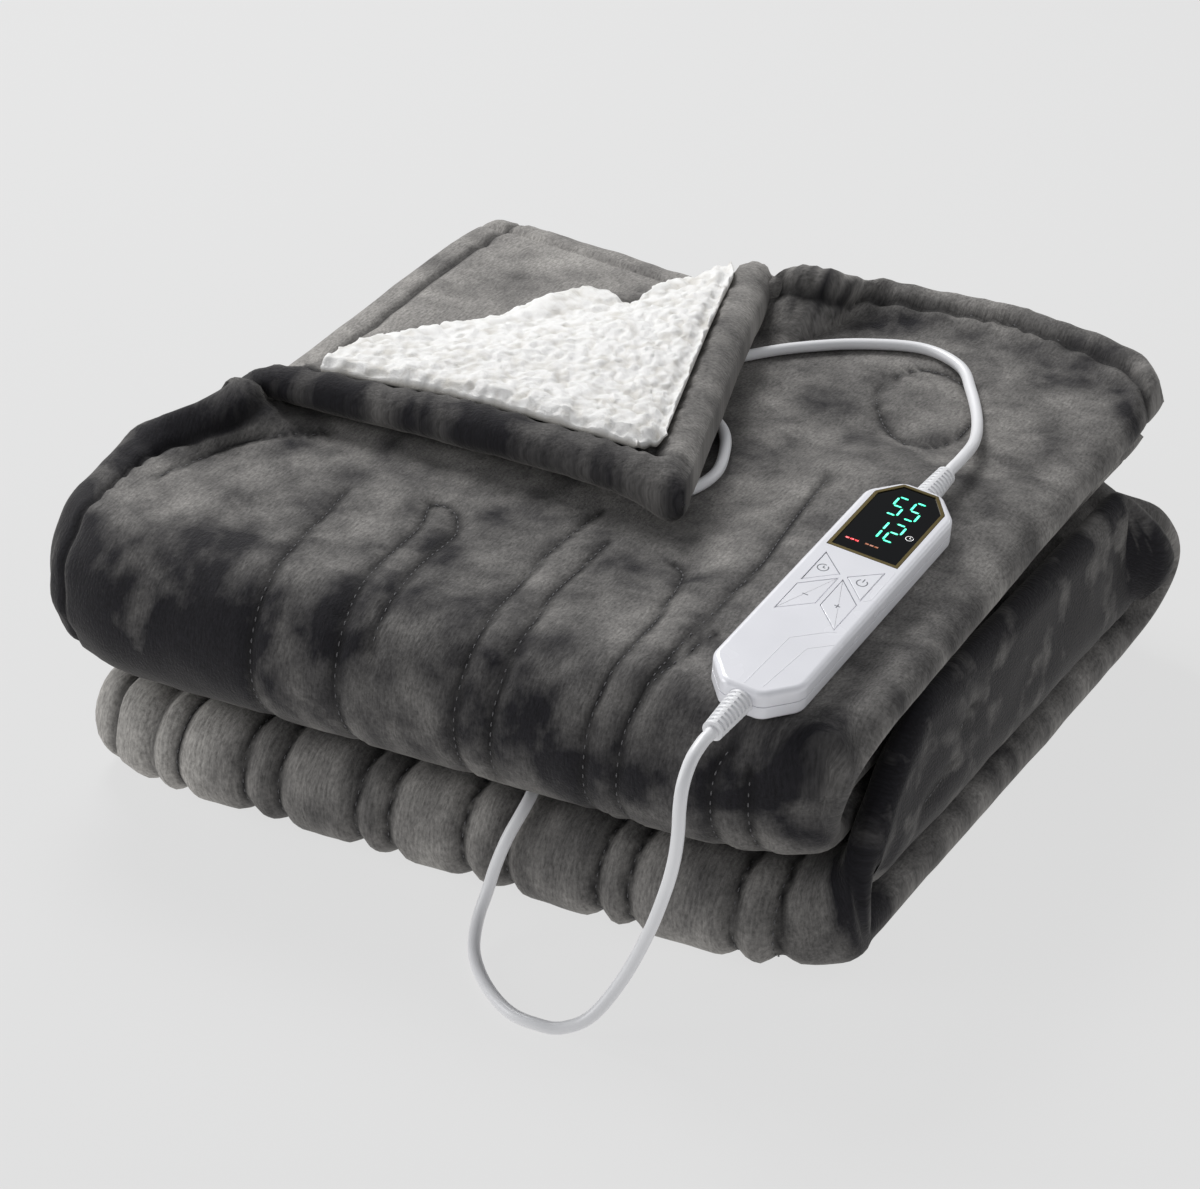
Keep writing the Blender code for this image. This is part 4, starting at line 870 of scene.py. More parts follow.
def moulded(name, colour, roughness, coat=0.0, texture=0.00003, scale=900.0, ior=1.53):
    """Injection-moulded plastic: one colour, with the mould's fine unevenness in its gloss."""
    material, tree, shader = new_material(name, Roughness=roughness, Coat_Weight=coat,
                                          Coat_Roughness=0.08, IOR=ior)
    place = object_place(tree)
    uneven = cloud(tree, place, 35)
    mottle(tree, shader, uneven, colour, 0.94)
    tree.links.new(spread(tree, uneven, 0.3, 0.7, roughness * 0.85, roughness * 1.2),
                   shader.inputs["Roughness"])
    tree.links.new(bump(tree, cloud(tree, place, scale), texture, 0.5), shader.inputs["Normal"])
    return material


def lit(name, colour, strength):
    """A lamp's segment behind the window: it gives its own light, a little uneven over its face."""
    material, tree, shader = new_material(name, Roughness=0.5)
    shader.inputs["Base Color"].default_value = (*colour, 1)
    shader.inputs["Emission Color"].default_value = (*colour, 1)
    shader.inputs["Emission Strength"].default_value = strength
    spots = spread(tree, cloud(tree, object_place(tree), 700, 1), 0.4, 0.8, 0, 1)
    paler = tuple(min(1.0, 0.35 + part) for part in colour)
    tree.links.new(blend_colours(tree, spots, tuple(colour), paler), shader.inputs["Emission Color"])
    return material


def twisted_thread():
    """Spun polyester thread, two strands twisted: slightly glossy, its strands 0.4 mm apart."""
    material, tree, shader = new_material("polyester_thread_spun", Roughness=0.55,
                                          Specular_IOR_Level=0.4)
    strand = add_node(tree, "ShaderNodeTexWave", {"Scale": 400, "Distortion": 1.0},
                      {"Vector": object_place(tree)}, bands_direction="DIAGONAL").outputs["Fac"]
    mottle(tree, shader, strand, colours().thread, 0.6)
    tree.links.new(bump(tree, strand, 0.0002, 0.6), shader.inputs["Normal"])
    return material


def nickel():
    """Nickel-plated brass, drawn as rod: bright, with fine lines round it from turning."""
    material, tree, shader = new_material("brass_pin_nickel_plated", Metallic=1.0, Roughness=0.24)
    lines = cloud(tree, stretched(tree, object_place(tree), (2600, 60, 60)), 1)
    mottle(tree, shader, lines, colours().metal, 0.86)
    tree.links.new(spread(tree, lines, 0.3, 0.7, 0.18, 0.32), shader.inputs["Roughness"])
    return material


def case_plastic():
    """ABS, moulded in a polished mould: white and glossy, so its rounded edges catch the light."""
    made = bpy.data.materials.get("abs_white_moulded_gloss")
    return made or moulded("abs_white_moulded_gloss", tuple(colours().case), 0.24, coat=0.25)


def jacket():
    """Soft PVC, extruded round the wires: white, satin, smooth to the touch."""
    made = bpy.data.materials.get("pvc_cord_extruded")
    return made or moulded("pvc_cord_extruded", tuple(colours().cord), 0.38, texture=0.00005,
                           scale=500.0)


# ---------------------------------------------------------------- cords
def between(points, number, share):
    """A point of a smooth curve through the given points, in the span after one of them."""
    before = points[max(0, number - 1)]
    a, b = points[number], points[number + 1]
    after = points[min(len(points) - 1, number + 2)]
    return 0.5 * (2 * a + (b - before) * share + (2 * before - 5 * a + 4 * b - after) * share ** 2
                  + (3 * a - before - 3 * b + after) * share ** 3)


def even_route(places, steps):
    """Points at even steps along a smooth curve through the places, ends included."""
    fine = 16
    path = [between(places, n, k / fine) for n in range(len(places) - 1) for k in range(fine)]
    path.append(places[-1])
    whole = sum((b - a).length for a, b in zip(path, path[1:]))
    route, done, wanted = [path[0]], 0.0, 1
    for a, b in zip(path, path[1:]):
        span = (b - a).length
        while wanted < steps and done + span >= whole * wanted / steps:
            route.append(a.lerp(b, (whole * wanted / steps - done) / max(span, 1e-9)))
            wanted += 1
        done += span
    route.append(path[-1])
    return route


def relief_tip(side, past=0.0):
    y = side * (CONTROL_LENGTH / 2 + TOUCH + RELIEF_LENGTH + TOUCH + past)
    return CONTROL_FRAME @ Vector((0, y, CONTROL_THICK / 2))


def connector_frame():
    """Where the connector lies, with +X away from its cord."""
    x, y = CONNECTOR_AT
    way = Vector(CONNECTOR_AT) - Vector(CONTROL_LIE[-1])
    turn = Matrix.Rotation(way.angle_signed(Vector((1, 0))), 4, "Z")
    return Matrix.Translation((x, y, top_surface(x, y) + CLOTH_MARGIN)) @ turn


def control_places():
    """From the controller's display end over the cloth, round a loop, to the connector."""
    long, _, height = CONNECTOR_SIZE
    places = [relief_tip(1, past) for past in STRAIGHT]
    places += [Vector(p) for p in CONTROL_DROP]
    places += [Vector((x, y, top_surface(x, y) + CORD / 2 + CLOTH_MARGIN)) for x, y in CONTROL_LIE]
    places += [connector_frame() @ Vector((-long / 2 - TOUCH - past, 0, height / 2))
               for past in reversed(STRAIGHT)]
    return places


def coil_places():
    """Six turns, two beside each other and three high; each passes to the next lane near -Y."""
    places = []
    turns, steps = len(COIL_LANES), 24
    for number, (radius, height) in enumerate(COIL_LANES):
        last = number + 1 == turns
        after = (radius + CORD, height) if last else COIL_LANES[number + 1]
        for step in range(steps):
            share = ease((step / steps - COIL_PASS) / (0.98 - COIL_PASS))
            aside, above = (sin(pi * share) * part for part in COIL_ASIDE[number])
            wide = mix(radius, after[0], share) + aside
            high = mix(height, after[1], share) + above
            angle = 2 * pi * step / steps - pi / 2
            places.append(Vector((COIL_AT[0] + wide * cos(angle), COIL_AT[1] + wide * sin(angle),
                                  max(high, CORD / 2))))
    return places


def mains_places():
    """From the controller over the front, between the rolls, through the stack, round the coil
    and to the plug."""
    places = [relief_tip(-1, past) for past in STRAIGHT]
    places += [Vector(p) for p in MAINS_FRONT]
    places += [Vector((x, y, GAP_HEIGHT)) for x, y in MAINS_INSIDE]
    places += [Vector(p) for p in MAINS_BACK]
    lane = COIL_AT[1] - (COIL_OUTER - CORD / 2)
    places.append(Vector((COIL_AT[0] - COIL_LEAD_X, lane, COIL_LOW + CORD / 2)))
    places += coil_places()
    end = COIL_LANES[-1][1]
    places += [Vector((COIL_AT[0], lane - CORD, end)),
               Vector((COIL_AT[0] + 0.013, lane - 0.0045, end - 0.0014)),
               Vector((PLUG_X - 0.008, lane - 0.0003, PLUG_THICK / 2)),
               Vector((PLUG_X - TOUCH, lane, PLUG_THICK / 2))]
    return places


def tube(name, route):
    """A cord as a round tube along a route."""
    made = rod(name, route, CORD / 2, 5)
    made.data.materials.append(jacket())
    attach(made, "root")
    return made


class BLANKET_OT_cords(Operator):
    """The controller's cord and the mains lead with its coil, each one length of cord"""
    bl_idname = "heated_blanket.cords"
    bl_label = "Cords"

    def execute(self, context):
        cord = tube("controller_cord", even_route(control_places(), CONTROL_STEPS))
        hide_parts("control_cord")
        lead = tube("mains_lead", even_route(mains_places(), LEAD_STEPS))
        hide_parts("mains_cord", "cord_coil", "mains_cord_tail")
        return {"FINISHED"}


class BLANKET_OT_connector(Operator):
    """The flat housing on the throw that the controller's cord runs into"""
    bl_idname = "heated_blanket.connector"
    bl_label = "Connector"

    def execute(self, context):
        long, wide, high = CONNECTOR_SIZE
        x, y = long / 2, wide / 2
        body = plate("cord_connector", rectangle(-x, x, -y, y), 0, high)
        round_edges(body, upright, 0.0045, 5)
        round_edges(body, level_at(high), 0.0022, 4)
        round_edges(body, level_at(0), 0.0012, 3)
        rib_wide, pitch, sunk = 0.001, 0.0022, 0.0004
        starts = [-x + 0.004 + pitch * n for n in range(4)]
        ribs = [plate("rib", rectangle(start, start + rib_wide, -y * 0.62, y * 0.62),
                      high - sunk, high + sunk) for start in starts]
        body = join("cord_connector", [body, *ribs])
        settle(body, case_plastic(), ("blanket_connector",),
               place=connector_frame())
        return {"FINISHED"}


class BLANKET_OT_tie(Operator):
    """The strap round the coil"""
    bl_idname = "heated_blanket.tie"
    bl_label = "Coil tie"

    def execute(self, context):
        half_wide = (COIL_OUTER - COIL_INNER) / 2 + TIE_SIDE
        half_high = (COIL_HIGH - COIL_LOW) / 2 + TOUCH
        wide, high = half_wide + TIE_THICK, half_high + TIE_THICK
        strap = plate("coil_strap", rectangle(-wide, wide, -high, high), -TIE_WIDTH / 2,
                      TIE_WIDTH / 2)
        round_edges(strap, upright, 0.0034, 5)
        hole = plate("hole", rectangle(-half_wide, half_wide, -half_high, half_high),
                     -TIE_WIDTH, TIE_WIDTH)
        round_edges(hole, upright, 0.0024, 5)
        cut_out(strap, hole)
        middle = (COIL_INNER + COIL_OUTER) / 2
        place = Matrix.Translation((COIL_AT[0], COIL_AT[1] + middle, (COIL_LOW + COIL_HIGH) / 2))
        place = place @ Euler((pi / 2, 0, pi / 2)).to_matrix().to_4x4()
        finish = moulded("pvc_strap_moulded", tuple(colours().tie), 0.5, texture=0.0001, scale=1400)
        settle(strap, finish, ("coil_tie",), place=place)
        return {"FINISHED"}


class BLANKET_OT_plug(Operator):
    """The flat two-pin plug at the lead's end"""
    bl_idname = "heated_blanket.plug"
    bl_label = "Plug"

    def execute(self, context):
        half, neck = PLUG_WIDTH / 2, PLUG_NECK / 2
        outline = ((0, -neck), (PLUG_SHOULDER, -half), (PLUG_LENGTH, -half), (PLUG_LENGTH, half),
                   (PLUG_SHOULDER, half), (0, neck))
        body = plate("plug_moulding", outline, 0, PLUG_THICK)
        round_edges(body, lambda a, b: upright(a, b) and a.x < PLUG_LENGTH - 0.001, 0.0040, 5)
        round_edges(body, lambda a, b: level_at(PLUG_THICK)(a, b) or level_at(0)(a, b), 0.0024, 5)
        grips = [plate("grip", rectangle(x, x + 0.0012, -0.009, 0.009), PLUG_THICK - 0.0006,
                       PLUG_THICK + 0.0003) for x in (0.0150 + 0.0036 * n for n in range(4))]
        body = join("plug_moulding", [body, *grips])
        side = COIL_AT[1] - (COIL_OUTER - CORD / 2)
        place = Matrix.Translation((PLUG_X, side, 0))
        settle(body, case_plastic(), ("plug_body",), place=place)
        r = PIN_RADIUS
        start = 0.0102
        pin = lathe("pin", ((r * 0.9, start), (r * 0.9, PIN_LENGTH - 0.0015),
                            (r * 0.78, PIN_LENGTH - 0.0006), (r * 0.45, PIN_LENGTH - 0.0001)), 24)
        sleeve = lathe("sleeve", ((r, 0.0), (r, start - 0.0002), (r * 0.93, start)), 24)
        base = Matrix.Translation((PLUG_X + PLUG_LENGTH + TOUCH, side, PLUG_THICK / 2))
        base = base @ Matrix.Rotation(pi / 2, 4, "Y")
        sheath = moulded("polyamide_sleeve_moulded", linear("2A2B2D"), 0.45)
        for name, one, material, replaced in (
                ("plug_pins", pin, nickel(), ("plug_pin_1", "plug_pin_2")),
                ("plug_sleeves", sleeve, sheath, ())):
            other = copy_of(one, Matrix.Translation((0, PIN_SPACING / 2, 0)))
            one.data.transform(Matrix.Translation((0, -PIN_SPACING / 2, 0)))
            settle(join(name, [one, other]), material, replaced, place=base)
        return {"FINISHED"}


# ---------------------------------------------------------------- the cloth's surface
# rise of the left end's band, as pattern v and height, and of the back hem's end, as x and height
LEFT_CREST = ((-0.190, -0.004), (-0.165, -0.005), (-0.147, -0.003), (-0.135, -0.005), (-0.123, -0.008),
              (-0.111, -0.001), (-0.105, 0.006), (-0.099, 0.013), (-0.093, 0.019), (-0.087, 0.023),
              (-0.070, 0.025))
HORN = ((-0.120, 0.0), (-0.060, 0.005), (-0.020, 0.0145), (-0.010, 0.0190), (0.000, 0.0212),
        (0.011, 0.0235), (0.016, 0.0195), (0.020, 0.0158), (0.024, 0.0125), (0.030, 0.0085),
        (0.040, 0.0052), (0.060, 0.0038), (0.120, 0.002), (0.210, 0.002))
ARCH_AT = 0.016          # x where the back hem arches over the corner's fold line
ARCH_PITCH = 0.0052      # from one small gather there to the next
BACK_HEM_RISE, ROLL_END, FLAP_SINK = 0.0070, 0.0075, 0.0085
FLAP_LEFT_RISE = 0.0035
BAND_SHIFT = (-0.009, -0.009, 0.001)
BAND_THINNED = 0.25
HUMP_AT, HUMP_HIGH = 0.63, 0.014
RELAX_TIMES = 22
UPPER_FRONT, LOWER_FRONT = -0.228, -1.027
HEM_SPACING = (0.0, 0.0007, 0.0020, 0.0040, 0.0065, 0.0095, RIM_HALF, 0.0160, 0.0195, 0.0217,
               HEM_GROOVE, 0.0253, 0.0285)
RIM_SPACING = (0.0, 0.0007, 0.0020, 0.0040, 0.0065, 0.0095, RIM_HALF)
FINE, COARSE = 0.0036, 0.0140
FINE_LEAD = 0.034        # the grid stays fine this far beyond a fold
COLUMNS = 112


def spaced_rows():
    """v of the grid's rows below the top ply, close at the folds and wide inside the stack."""
    rows, v = [], TOP_START
    end = STRETCHES[-1][3] + HEM_SPACING[-1] + 0.004
    turns = [row for row in STRETCHES if row[0] == "turn"]
    while v > end:
        rows.append(v)
        near = any(row[3] - FINE_LEAD <= v <= row[2] + FINE_LEAD for row in turns)
        v -= FINE if near or v < STRETCHES[-1][3] + 0.06 else COARSE
    return rows


def cloth_grid():
    """Pattern x and v of every point of the cloth's grid, from the top hem to the second ply's."""
    start, end = STRETCHES[-1][2:]
    runs = 104
    rows = [("top", d) for d in HEM_SPACING]
    rows += [("run", step / runs) for step in range(1, runs)]
    rows += [("v", v) for v in spaced_rows()]
    rows += [("end", d) for d in reversed(HEM_SPACING)]
    count = len(HEM_SPACING) + COLUMNS + len(RIM_SPACING)
    xs, vs = np.zeros((len(rows), count)), np.zeros((len(rows), count))
    for r, (kind, value) in enumerate(rows):
        for c in range(count):
            x, v = 0.0, 0.0
            for _ in range(3):
                if kind == "top":
                    v = top_hem(x) - value
                elif kind == "run":
                    v = mix(top_hem(x) - HEM_SPACING[-1], TOP_START, value)
                elif kind == "v":
                    v = value
                else:
                    reach = hem_depth(SECOND_HEM, x) - turn_centre(TURNS[-1], x)
                    v = start - (start - end) * (reach - value) / reach
                if c == 0:
                    left, right = edges_at(v)[0], right_edge(v)
                x = column_x(c, count, left, right, v)
                if kind == "v":
                    break
                left, right = edges_at(v)[0], right_edge(v)
            xs[r, c], vs[r, c] = x, v
    return xs, vs


def column_x(number, count, left, right, v):
    """x of a column: close at the hems, and at the back close where the hem passes the fold."""
    hems, rims = len(HEM_SPACING), len(RIM_SPACING)
    if number < hems:
        return left + HEM_SPACING[number]
    if number >= count - rims:
        return right - RIM_SPACING[count - 1 - number]
    share = (number - hems + 1) / (COLUMNS + 1)
    first, last = left + HEM_SPACING[-1], right - RIM_SPACING[-1]
    away = share - (ARCH_AT - first) / (last - first)
    share -= 0.65 * ease((v - 0.04) / 0.08) * away * exp(-(away / 0.12) ** 2)
    return mix(first, last, share)


def from_row(xs, vs, points):
    """Distance of pattern points from a row of stitching, and how far along the row they lie."""
    best = np.full(xs.shape, 9.0)
    along = np.zeros(xs.shape)
    done = 0.0
    for (x0, v0), (x1, v1) in zip(points, points[1:]):
        dx, dv = x1 - x0, v1 - v0
        long = sqrt(dx * dx + dv * dv)
        share = np.clip(((xs - x0) * dx + (vs - v0) * dv) / long ** 2, 0, 1)
        gap = np.hypot(xs - x0 - share * dx, vs - v0 - share * dv)
        nearer = gap < best
        best = np.where(nearer, gap, best)
        along = np.where(nearer, done + share * long, along)
        done += long
    return best, along


def smooth_row(points, step=0.006):
    """Points at short steps along a smooth curve through the places of a row."""
    places = [Vector((*p, 0)) for p in points]
    count = max(2, round(sum((b - a).length for a, b in zip(places, places[1:])) / step))
    return [tuple(p.xy) for p in even_route(places, count)]


def channel_rows():
    """The rows round the lower roll, each with a slight wander."""
    top, foot = LOWER[2] + SEAM_LEAD, LOWER[3] - SEAM_TAIL
    rows = []
    for number, x in enumerate(x for pair in CHANNELS for x in pair):
        rows.append([(x + 0.0012 * sin(1.7 * number + 40 * (top - v)), v)
                     for v in np.linspace(top, foot, 12)])
    return rows


def collar_row():
    """The stitched curve on the collar's outer face."""
    return smooth_row([(0.2560, -0.8950), (0.2500, -0.9110), (0.2380, -0.9180), (0.2300, -0.9350),
                       (0.2240, -0.9600)])


def stitched_rows():
    """All the rows that show: the pattern points of each, its face (1 up, -1 down) and depth."""
    rows = [(smooth_row(points), 1, 1.0) for points in QUILTING.values()]
    rows += [(row, 1, 1.25) for row in channel_rows()]
    rows.append((collar_row(), -1, 0.8))
    return rows


def lumps(places, scale, seed):
    """Soft noise from -1 to 1 at each place."""
    away = Vector((3.1 * seed, 7.7 * seed, 1.3 * seed))
    flat = places.reshape(-1, 3)
    made = [noise.noise(Vector(p) / scale + away) for p in flat]
    return np.array(made).reshape(places.shape[:-1])


def route_mask(xs, vs):
    """0 under the cord and the controller, where the cloth keeps its solid's height, 1 elsewhere."""
    gap = from_row(xs, vs, CONTROL_LIE)[0]
    mask = np.clip((gap - 0.006) / 0.010, 0, 1)
    bed = np.vectorize(bed_share)(xs, vs)
    return np.where(vs > TOP_START - 0.01, mask * (1 - bed), 1.0)


def channel_puff(xs, vs):
    """Share of the thickness that the soft channels of the lower roll leave."""
    share = np.ones(xs.shape)
    rise = np.clip((LOWER[2] - vs + SEAM_LEAD) / 0.02, 0, 1)
    fall = np.clip((vs - LOWER[3] + SEAM_TAIL) / 0.02, 0, 1)
    in_roll = (rise * rise * (3 - 2 * rise)) * (fall * fall * (3 - 2 * fall))
    for x in (x for pair in CHANNELS for x in pair):
        near = np.clip(np.abs(xs - x) / SEAM_HALF, 0, 1)
        share *= 1 - SEAM_DEPTH * in_roll * (1 - near * near * (3 - 2 * near))
    return share


def relief(xs, vs, middle, side):
    """How far one face of the cloth stands out from its plain thickness, and how much painted shade
    its grooves get.
    """
    s = sizes()
    out, hollow_shade = np.zeros(xs.shape), np.zeros(xs.shape)
    for points, face, deep in stitched_rows():
        if face != side:
            continue
        gap, along = from_row(xs, vs, points)
        cut = np.exp(-(gap / s.quilting_wide) ** 2)
        wave = np.sin(2 * pi * along / 0.0085 + 3 * np.sin(along * 90))
        near = np.exp(-(gap / 0.011) ** 2) * (1 - np.exp(-(gap / 0.003) ** 2))
        out -= deep * s.quilting_deep * cut
        out += s.pucker_deep * (deep if deep <= 1 else 0.25) * wave * near
        # painted shade in the groove beside each row of stitching
        hollow_shade = np.maximum(hollow_shade, np.exp(-(gap / 0.0022) ** 2))
    hem = np.minimum(hem_gap(xs, vs)[0], hem_gap(xs, vs)[1])
    # painted shade in the groove along the hems
    hollow_shade = np.maximum(hollow_shade, 0.8 * np.exp(-((hem - HEM_GROOVE) / 0.0025) ** 2))
    mask = route_mask(xs, vs) if side == 1 else 1.0
    free = s.pile_lump * (lumps(middle, 0.034, 1 + side) + 0.5 * lumps(middle, 0.013, 5 + side))
    out += free * mask
    out += hem_gathers(xs, vs) * mask
    if side == 1:
        out += 0.55 * left_crest(xs, vs)
        out += back_hem_rise(xs, vs)
    return out, hollow_shade


def smooth(share):
    """Over a grid, an even step from 0 to 1 with soft ends."""
    share = np.clip(share, 0, 1)
    return share * share * (3 - 2 * share)


def bell(values, middle, width):
    """1 at the middle, falling away to both sides."""
    return np.exp(-((values - middle) / width) ** 2)


def from_left(xs, vs):
    return xs - np.vectorize(lambda v: edges_at(v)[0])(vs)


def from_top(xs, vs):
    return np.vectorize(top_hem)(xs) - vs


def past_fold(xs, vs):
    """Distance beyond the turned corner's fold line."""
    return (xs - FOLD_LEFT.x) * BEYOND.x + (vs - FOLD_LEFT.y) * BEYOND.y


def hem_gap(xs, vs):
    """Distance in from the top hem, on the top ply only, and from the left edge."""
    top = from_top(xs, vs)
    left = from_left(xs, vs)
    return np.where(vs > TOP_START - 0.02, top, 1.0), left


def back_hem_rise(xs, vs):
    """The back hem's band is fuller than the cloth beside it."""
    top = from_top(xs, vs)
    return BACK_HEM_RISE * bell(top, 0.013, 0.016) * (vs > 0.05)


def hem_gathers(xs, vs):
    """Small gathers across the hems, where their stitching draws them in."""
    top, left = hem_gap(xs, vs)
    out = np.zeros(xs.shape)
    for gap, along, seed in ((top, xs, 0.0), (left, vs, 2.0)):
        wave = np.sin(2 * pi * along / 0.016 + 2.5 * np.sin(along * 55 + seed) + seed)
        pulled = 1 + (0.6 * bell(xs, 0.026, 0.030) if seed == 0 else 0.0)
        out += 0.0010 * wave * bell(gap, HEM_GROOVE, 0.012) * pulled
    arch = bell(xs, ARCH_AT - 0.004, 0.015) * smooth((0.040 - top) / 0.02)
    out += 0.0007 * np.sin(2 * pi * xs / ARCH_PITCH) * arch
    return out


def left_crest(xs, vs):
    """Rise of the band that runs from the turned corner down round the upper roll's left end."""
    left = from_left(xs, vs)
    high = np.interp(vs, *zip(*LEFT_CREST))
    far = past_fold(xs, vs)
    before_fold = smooth((0.004 - far) / 0.008)
    inward = 0.80 * smooth((0.034 - left) / 0.018) + 0.20 * smooth((0.070 - left) / 0.050)
    return high * inward * before_fold


def band_start(xs, vs):
    """1 on the turned corner's band just past the fold line, fading away from there."""
    left = from_left(xs, vs)
    far = past_fold(xs, vs)
    along_band = smooth(far / 0.020) * smooth((0.130 - far) / 0.110)
    return along_band * smooth((0.060 - left) / 0.030) * ((far > 0) & (vs > TOP_START))


def horn(xs, vs):
    """Rise of the back hem's end, where it stands up against the turned corner."""
    top = from_top(xs, vs)
    depth = np.exp(-(np.maximum(top - 0.016, 0) / 0.022) ** 2)
    return np.interp(xs, *zip(*HORN)) * depth * (vs > 0.05)


def lifted(xs, vs, middle):
    """The cloth's middle with what its solid leaves out: the band at the left end, the back hem
    that stands up beside the turned corner, and the corner's flatter crest."""
    made = middle.copy()
    made[..., 2] += 0.45 * left_crest(xs, vs) + horn(xs, vs)
    left = from_left(xs, vs)
    in_roll = smooth((-0.160 - vs) / 0.04) * smooth((vs + 0.34) / 0.05)
    made[..., 0] += ROLL_END * in_roll * smooth((0.090 - left) / 0.090)
    far = past_fold(xs, vs)
    along = ((xs - FOLD_LEFT.x) * LINE.x + (vs - FOLD_LEFT.y) * LINE.y) / LINE_LENGTH
    crest = bell(far, 0.048, 0.034) * smooth((along - 0.10) / 0.4)
    turned = (far > 0) & (vs > TOP_START)
    start = smooth(far / 0.030) * smooth((0.30 - along) / 0.30)
    made[..., 2] += np.where(turned, FLAP_LEFT_RISE * start - FLAP_SINK * crest, 0.0)
    made += band_start(xs, vs)[..., None] * np.array(BAND_SHIFT)
    hump = bell(far, 0.028, 0.014) * bell(along * LINE_LENGTH, HUMP_AT * LINE_LENGTH, 0.036)
    made[..., 2] += HUMP_HIGH * hump * turned
    return made


def relaxed(xs, vs, middle):
    """The cloth's middle drawn smooth where the hems pass over the corner's fold line."""
    far = past_fold(xs, vs)
    top, left = hem_gap(xs, vs)
    back = smooth((0.042 - top) / 0.016) * smooth((0.060 - np.abs(xs - 0.016)) / 0.030)
    back *= vs > 0.05
    side = smooth((0.045 - left) / 0.015) * smooth((0.045 - np.abs(far - 0.008)) / 0.025)
    end = smooth((LOWER[2] + 0.020 - vs) / 0.02) * smooth((vs - LOWER[3]) / 0.02)
    end *= smooth((xs - 0.165) / 0.020)
    mask = np.clip(back + side + end, 0, 1)[1:-1, 1:-1, None]
    gap = [np.abs(np.diff(a, axis=n))[..., None] + 1e-6 for n, a in ((0, vs), (1, xs))]
    made = middle.copy()
    for _ in range(RELAX_TIMES):
        above, below = gap[0][:-1, 1:-1], gap[0][1:, 1:-1]
        left_gap, right_gap = gap[1][1:-1, :-1], gap[1][1:-1, 1:]
        upright = (made[:-2, 1:-1] * below + made[2:, 1:-1] * above) / (above + below)
        level = (made[1:-1, :-2] * right_gap + made[1:-1, 2:] * left_gap) / (left_gap + right_gap)
        made[1:-1, 1:-1] += mask * 0.9 * ((upright + level) / 2 - made[1:-1, 1:-1])
    return made


def grid_normals(middle):
    """Unit normals of the grid, up where the top ply lies flat."""
    across = np.gradient(middle, axis=1)
    along = -np.gradient(middle, axis=0)
    normal = np.cross(across, along)
    return normal / np.maximum(np.linalg.norm(normal, axis=-1, keepdims=True), 1e-9)


def closed_grid(name, upper, lower):
    """A closed mesh from two grids of places that share their rim's order."""
    rows, columns = upper.shape[:2]
    number = np.arange(rows * columns).reshape(rows, columns)
    below = number + rows * columns
    a, b, c, d = number[:-1, :-1], number[:-1, 1:], number[1:, 1:], number[1:, :-1]
    quads = [np.stack((a, d, c, b), -1).reshape(-1, 4),
             np.stack((a, b, c, d), -1).reshape(-1, 4) + rows * columns]
    for line, other in ((number[0], below[0]), (number[-1][::-1], below[-1][::-1]),
                        (number[:, 0][::-1], below[:, 0][::-1]), (number[:, -1], below[:, -1])):
        quads.append(np.stack((line[:-1], line[1:], other[1:], other[:-1]), -1))
    faces = np.concatenate(quads)
    mesh = bpy.data.meshes.new(name)
    points = np.concatenate((upper.reshape(-1, 3), lower.reshape(-1, 3)))
    mesh.from_pydata(points.tolist(), [], faces.tolist())
    thing = bpy.data.objects.new(name, mesh)
    bpy.context.scene.collection.objects.link(thing)
    select_only(thing)
    bpy.ops.object.mode_set(mode="EDIT")
    face_outward()
    return thing


def add_values(mesh, name, values):
    made = mesh.attributes.new(name, "FLOAT", "POINT")
    made.data.foreach_set("value", np.asarray(values, np.float32).ravel())


def add_pattern(mesh, xs, vs):
    """A UV map that holds each point's place on the flat pattern, in metres."""
    flat = np.stack((np.tile(xs.ravel(), 2), np.tile(vs.ravel(), 2)), -1)
    corners = np.zeros(len(mesh.loops), np.int32)
    mesh.loops.foreach_get("vertex_index", corners)
    layer = mesh.uv_layers.new(name="pattern")
    layer.data.foreach_set("uv", flat[corners].astype(np.float32).ravel())


